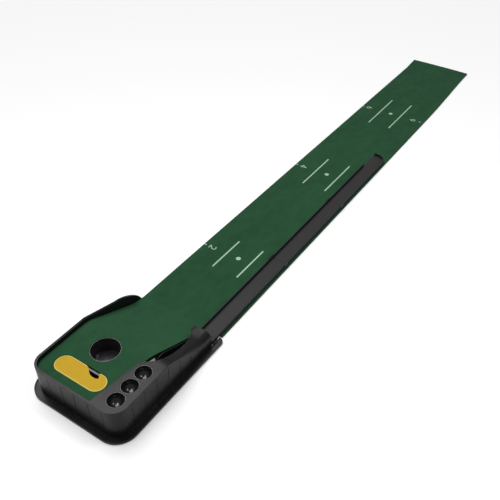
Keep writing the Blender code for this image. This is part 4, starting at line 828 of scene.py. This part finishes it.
def digit_shells(digit, x, y, side):
    """A number whose top points to the middle of the mat, each stroke a hair
    above the one before so that crossings don't flicker."""
    size = sizes()
    shells = []
    for layer, stroke in enumerate(digit_strokes(digit)):
        along = (stroke[:, 1] - 0.5) * size.digit_height
        beside = (stroke[:, 0] - 0.5) * size.digit_width
        path = np.column_stack([x + side * along, y - side * beside])
        shells.append(ribbon(path, size.digit_stroke, size.ink_rise + 0.00001 * layer, INK_SINK))
    return shells


class PUTTINGMAT_OT_base(bpy.types.Operator):
    """Finish the moulded base, its deck and the chute inside"""

    bl_idname = "putting_mat.base"
    bl_label = "Base, deck and chute"

    def execute(self, context):
        base = tuple(colours().housing)
        # Edges painted nine times paler: a painted highlight line along the rims and beads, partly wear.
        shell = moulded("black_housing", base, 0.30, grain=0.10, wear=0.60, wear_and_highlight=9.0,
                        radius=0.0012, shine=0.20)
        refine("base_housing", "housing_shell", shell)
        wear_node("ramp_deck", moulded("deck_black", base, 0.55, grain=0.2, wear=0.3))
        wear_node("return_chute", moulded("chute_black", base, 0.42, grain=0.15, wear=0.4))
        return {"FINISHED"}


class PUTTINGMAT_OT_gloss(bpy.types.Operator):
    """Finish the ball rests, the cup and the pocket tray"""

    bl_idname = "putting_mat.gloss"
    bl_label = "Ball rests, cup and tray"

    def execute(self, context):
        gloss = tuple(colours().gloss)
        rests = moulded("rest_gloss", gloss, 0.16, grain=0.02, wear=0.2, coat=0.5)
        refine("ball_rest_tray", "ball_rests", rests)
        # The cup is painted paler than the other gloss parts so that its floor shows as if lit: painted
        # light.
        cup_painted_paler = tuple(value * 2.2 for value in gloss)
        cup = moulded("cup_gloss", cup_painted_paler, 0.30, grain=0.02, wear=0.0, coat=0.3)
        refine("cup_liner", "putting_cup", cup)
        tray = moulded("tray_gloss", gloss, 0.20, grain=0.02, wear=0.3, coat=0.4)
        refine("bunker_tray", "pocket_tray", tray)
        return {"FINISHED"}


class PUTTINGMAT_OT_insert(bpy.types.Operator):
    """Finish the yellow bunker insert"""

    bl_idname = "putting_mat.insert"
    bl_label = "Bunker insert"

    def execute(self, context):
        wear_node("bunker_insert", insert_material())
        return {"FINISHED"}


class PUTTINGMAT_OT_trough(bpy.types.Operator):
    """Finish the three sections of the return trough"""

    bl_idname = "putting_mat.trough"
    bl_label = "Return trough"

    def execute(self, context):
        base = tuple(colours().trough)
        for shade, name in ((0.96, "trough_near"), (1.0, "trough_middle"), (1.05, "trough_far")):
            tone = tuple(value * shade for value in base)
            # Edges painted four times paler: partly wear, partly a painted highlight.
            material = moulded(name + "_grey", tone, 0.46, grain=0.12, wear=0.5, wear_and_highlight=4.0)
            refine(name, name + "_channel", material)
        return {"FINISHED"}


class PUTTINGMAT_OT_small(bpy.types.Operator):
    """Finish the screws, feet, tapes and grips"""

    bl_idname = "putting_mat.small"
    bl_label = "Screws, feet, tape and grips"

    def execute(self, context):
        steel = metal_material()
        rubber = moulded("foot_rubber_black", (0.02, 0.02, 0.02), 0.80, grain=0.5, wear=0.2)
        tape = fabric("cloth_tape", (0.46, 0.46, 0.42), (0.30, 0.30, 0.27), 0.2, 0.0, 0.0003)
        grip = fabric("hook_tape", (0.035, 0.035, 0.037), (0.012, 0.012, 0.013), 0.2, 0.1, 0.0005)
        for start, material in (("deck_screw", steel), ("chute_screw", steel), ("rubber_foot", rubber),
                                ("mat_tape", tape), ("grip", grip)):
            for name in nodes_named(start):
                wear_node(name, material)
        return {"FINISHED"}


class PUTTINGMAT_OT_stage(bpy.types.Operator):
    """Set the pale floor, the soft lights and the camera"""

    bl_idname = "putting_mat.stage"
    bl_label = "Floor, lights and camera"

    def execute(self, context):
        make_floor()
        make_lights()
        make_camera()
        return {"FINISHED"}


FLOOR_GAP = 0.0003
CAMERA_PLACE = (0.882, -1.840, 1.335)
CAMERA_ANGLES = (33.02, 39.55, 0.69)
CAMERA_LENS = 45.37


def make_floor():
    """A wide pale floor just under the feet."""
    reach = 9.0
    level = CAD_LOW[2] - FLOOR_GAP
    corners = [(-reach, -reach), (reach, -reach), (reach, reach), (-reach, reach)]
    points = np.array([[x, y, level] for x, y in corners])
    floor = grid_object("studio_floor", points, np.array([[0, 1, 2, 3]]), shade_smooth=False)
    material, tree, shader = new_material("pale_floor")
    shader.inputs["Base Color"].default_value = (0.85, 0.85, 0.85, 1)
    shader.inputs["Roughness"].default_value = 0.9
    shader.inputs["Specular IOR Level"].default_value = 0.1
    seen = add(tree, "ShaderNodeLightPath").outputs["Is Camera Ray"]
    lift = maths(tree, "MULTIPLY", seen, 0.22)
    shader.inputs["Emission Color"].default_value = (1, 1, 1, 1)
    tree.links.new(lift, shader.inputs["Emission Strength"])
    floor.data.materials.append(material)


def area_light(name, place, target, size, power):
    """A soft square lamp aimed at a point."""
    lamp = bpy.data.lights.new(name, "AREA")
    lamp.shape = "SQUARE"
    lamp.size = size
    lamp.energy = power
    item = bpy.data.objects.new(name, lamp)
    bpy.context.scene.collection.objects.link(item)
    item.location = place
    item.rotation_euler = (Vector(target) - Vector(place)).to_track_quat("-Z", "Y").to_euler()
    return item


def sun_light(name, place, strength, spread):
    """A broad even light from the direction of a place, aimed at the middle."""
    lamp = bpy.data.lights.new(name, "SUN")
    lamp.energy = strength
    lamp.angle = math.radians(spread)
    item = bpy.data.objects.new(name, lamp)
    bpy.context.scene.collection.objects.link(item)
    item.rotation_euler = (-Vector(place)).to_track_quat("-Z", "Y").to_euler()
    return item


def make_lights():
    """A white surround that lights softly, one broad light over the whole mat
    and two small lamps that sparkle on the glossy parts."""
    world = bpy.data.worlds.new("soft_surround")
    world.use_nodes = True
    tree = world.node_tree
    surround = tree.nodes["Background"]
    surround.inputs["Color"].default_value = (1.0, 1.0, 1.0, 1)
    seen = add(tree, "ShaderNodeLightPath").outputs["Is Camera Ray"]
    tree.links.new(ramp(tree, seen, 0.0, 1.0, 0.28, 1.0), surround.inputs["Strength"])
    scene = bpy.context.scene
    scene.world = world
    scene.view_settings.view_transform = "Standard"
    sun_light("broad_light", (-0.9, 0.5, 2.0), 1.85, 40.0)
    area_light("cup_lamp", (-0.35, -1.5, 2.1), (0.0, -1.15, 0.05), 0.5, 7.0)
    area_light("rest_lamp", (0.9, -0.3, 1.9), (0.05, -1.15, 0.05), 0.4, 7.0)


def make_camera():
    """The camera, turned by azimuth and elevation with a slight roll."""
    azimuth, elevation, roll = (math.radians(angle) for angle in CAMERA_ANGLES)
    forward = Vector((
        -math.sin(azimuth) * math.cos(elevation),
        math.cos(azimuth) * math.cos(elevation),
        -math.sin(elevation),
    ))
    level = Vector((math.cos(azimuth), math.sin(azimuth), 0.0))
    raised = level.cross(forward)
    right = level * math.cos(roll) + raised * math.sin(roll)
    up = right.cross(forward)
    turn = Matrix((right, up, -forward)).transposed().to_4x4()
    data = bpy.data.cameras.new("studio_camera")
    data.lens = CAMERA_LENS
    data.sensor_width = 36.0
    camera = bpy.data.objects.new("studio_camera", data)
    bpy.context.scene.collection.objects.link(camera)
    camera.matrix_world = Matrix.Translation(CAMERA_PLACE) @ turn
    bpy.context.scene.camera = camera


OPERATORS = (
    PUTTINGMAT_OT_turf,
    PUTTINGMAT_OT_backing,
    PUTTINGMAT_OT_marks,
    PUTTINGMAT_OT_base,
    PUTTINGMAT_OT_gloss,
    PUTTINGMAT_OT_insert,
    PUTTINGMAT_OT_trough,
    PUTTINGMAT_OT_small,
    PUTTINGMAT_OT_stage,
)


class PUTTINGMAT_PT_panel(bpy.types.Panel):
    """Makes and finishes the pieces of the putting mat"""

    bl_idname = "PUTTINGMAT_PT_panel"
    bl_label = "Putting mat"
    bl_space_type = "VIEW_3D"
    bl_region_type = "UI"
    bl_category = "Putting mat"

    def draw(self, context):
        for operator in OPERATORS:
            self.layout.operator(operator.bl_idname)
        for group in (context.scene.putting_mat_sizes, context.scene.putting_mat_colours):
            box = self.layout.box()
            for name in group.__annotations__:
                box.prop(group, name)


CLASSES = (PuttingMatSizes, PuttingMatColours) + OPERATORS + (PUTTINGMAT_PT_panel,)


def register():
    """Register the settings, operators and panel."""
    for item in CLASSES:
        bpy.utils.register_class(item)
    bpy.types.Scene.putting_mat_sizes = PointerProperty(type=PuttingMatSizes)
    bpy.types.Scene.putting_mat_colours = PointerProperty(type=PuttingMatColours)


def unregister():
    """Take the settings, operators and panel away again."""
    del bpy.types.Scene.putting_mat_colours
    del bpy.types.Scene.putting_mat_sizes
    for item in reversed(CLASSES):
        bpy.utils.unregister_class(item)


def main():
    """Make every piece in order."""
    register()
    make = bpy.ops.putting_mat
    for step in (make.turf, make.backing, make.marks, make.base, make.gloss,
                 make.insert, make.trough, make.small, make.stage):
        step()


if __name__ == "__main__":
    main()
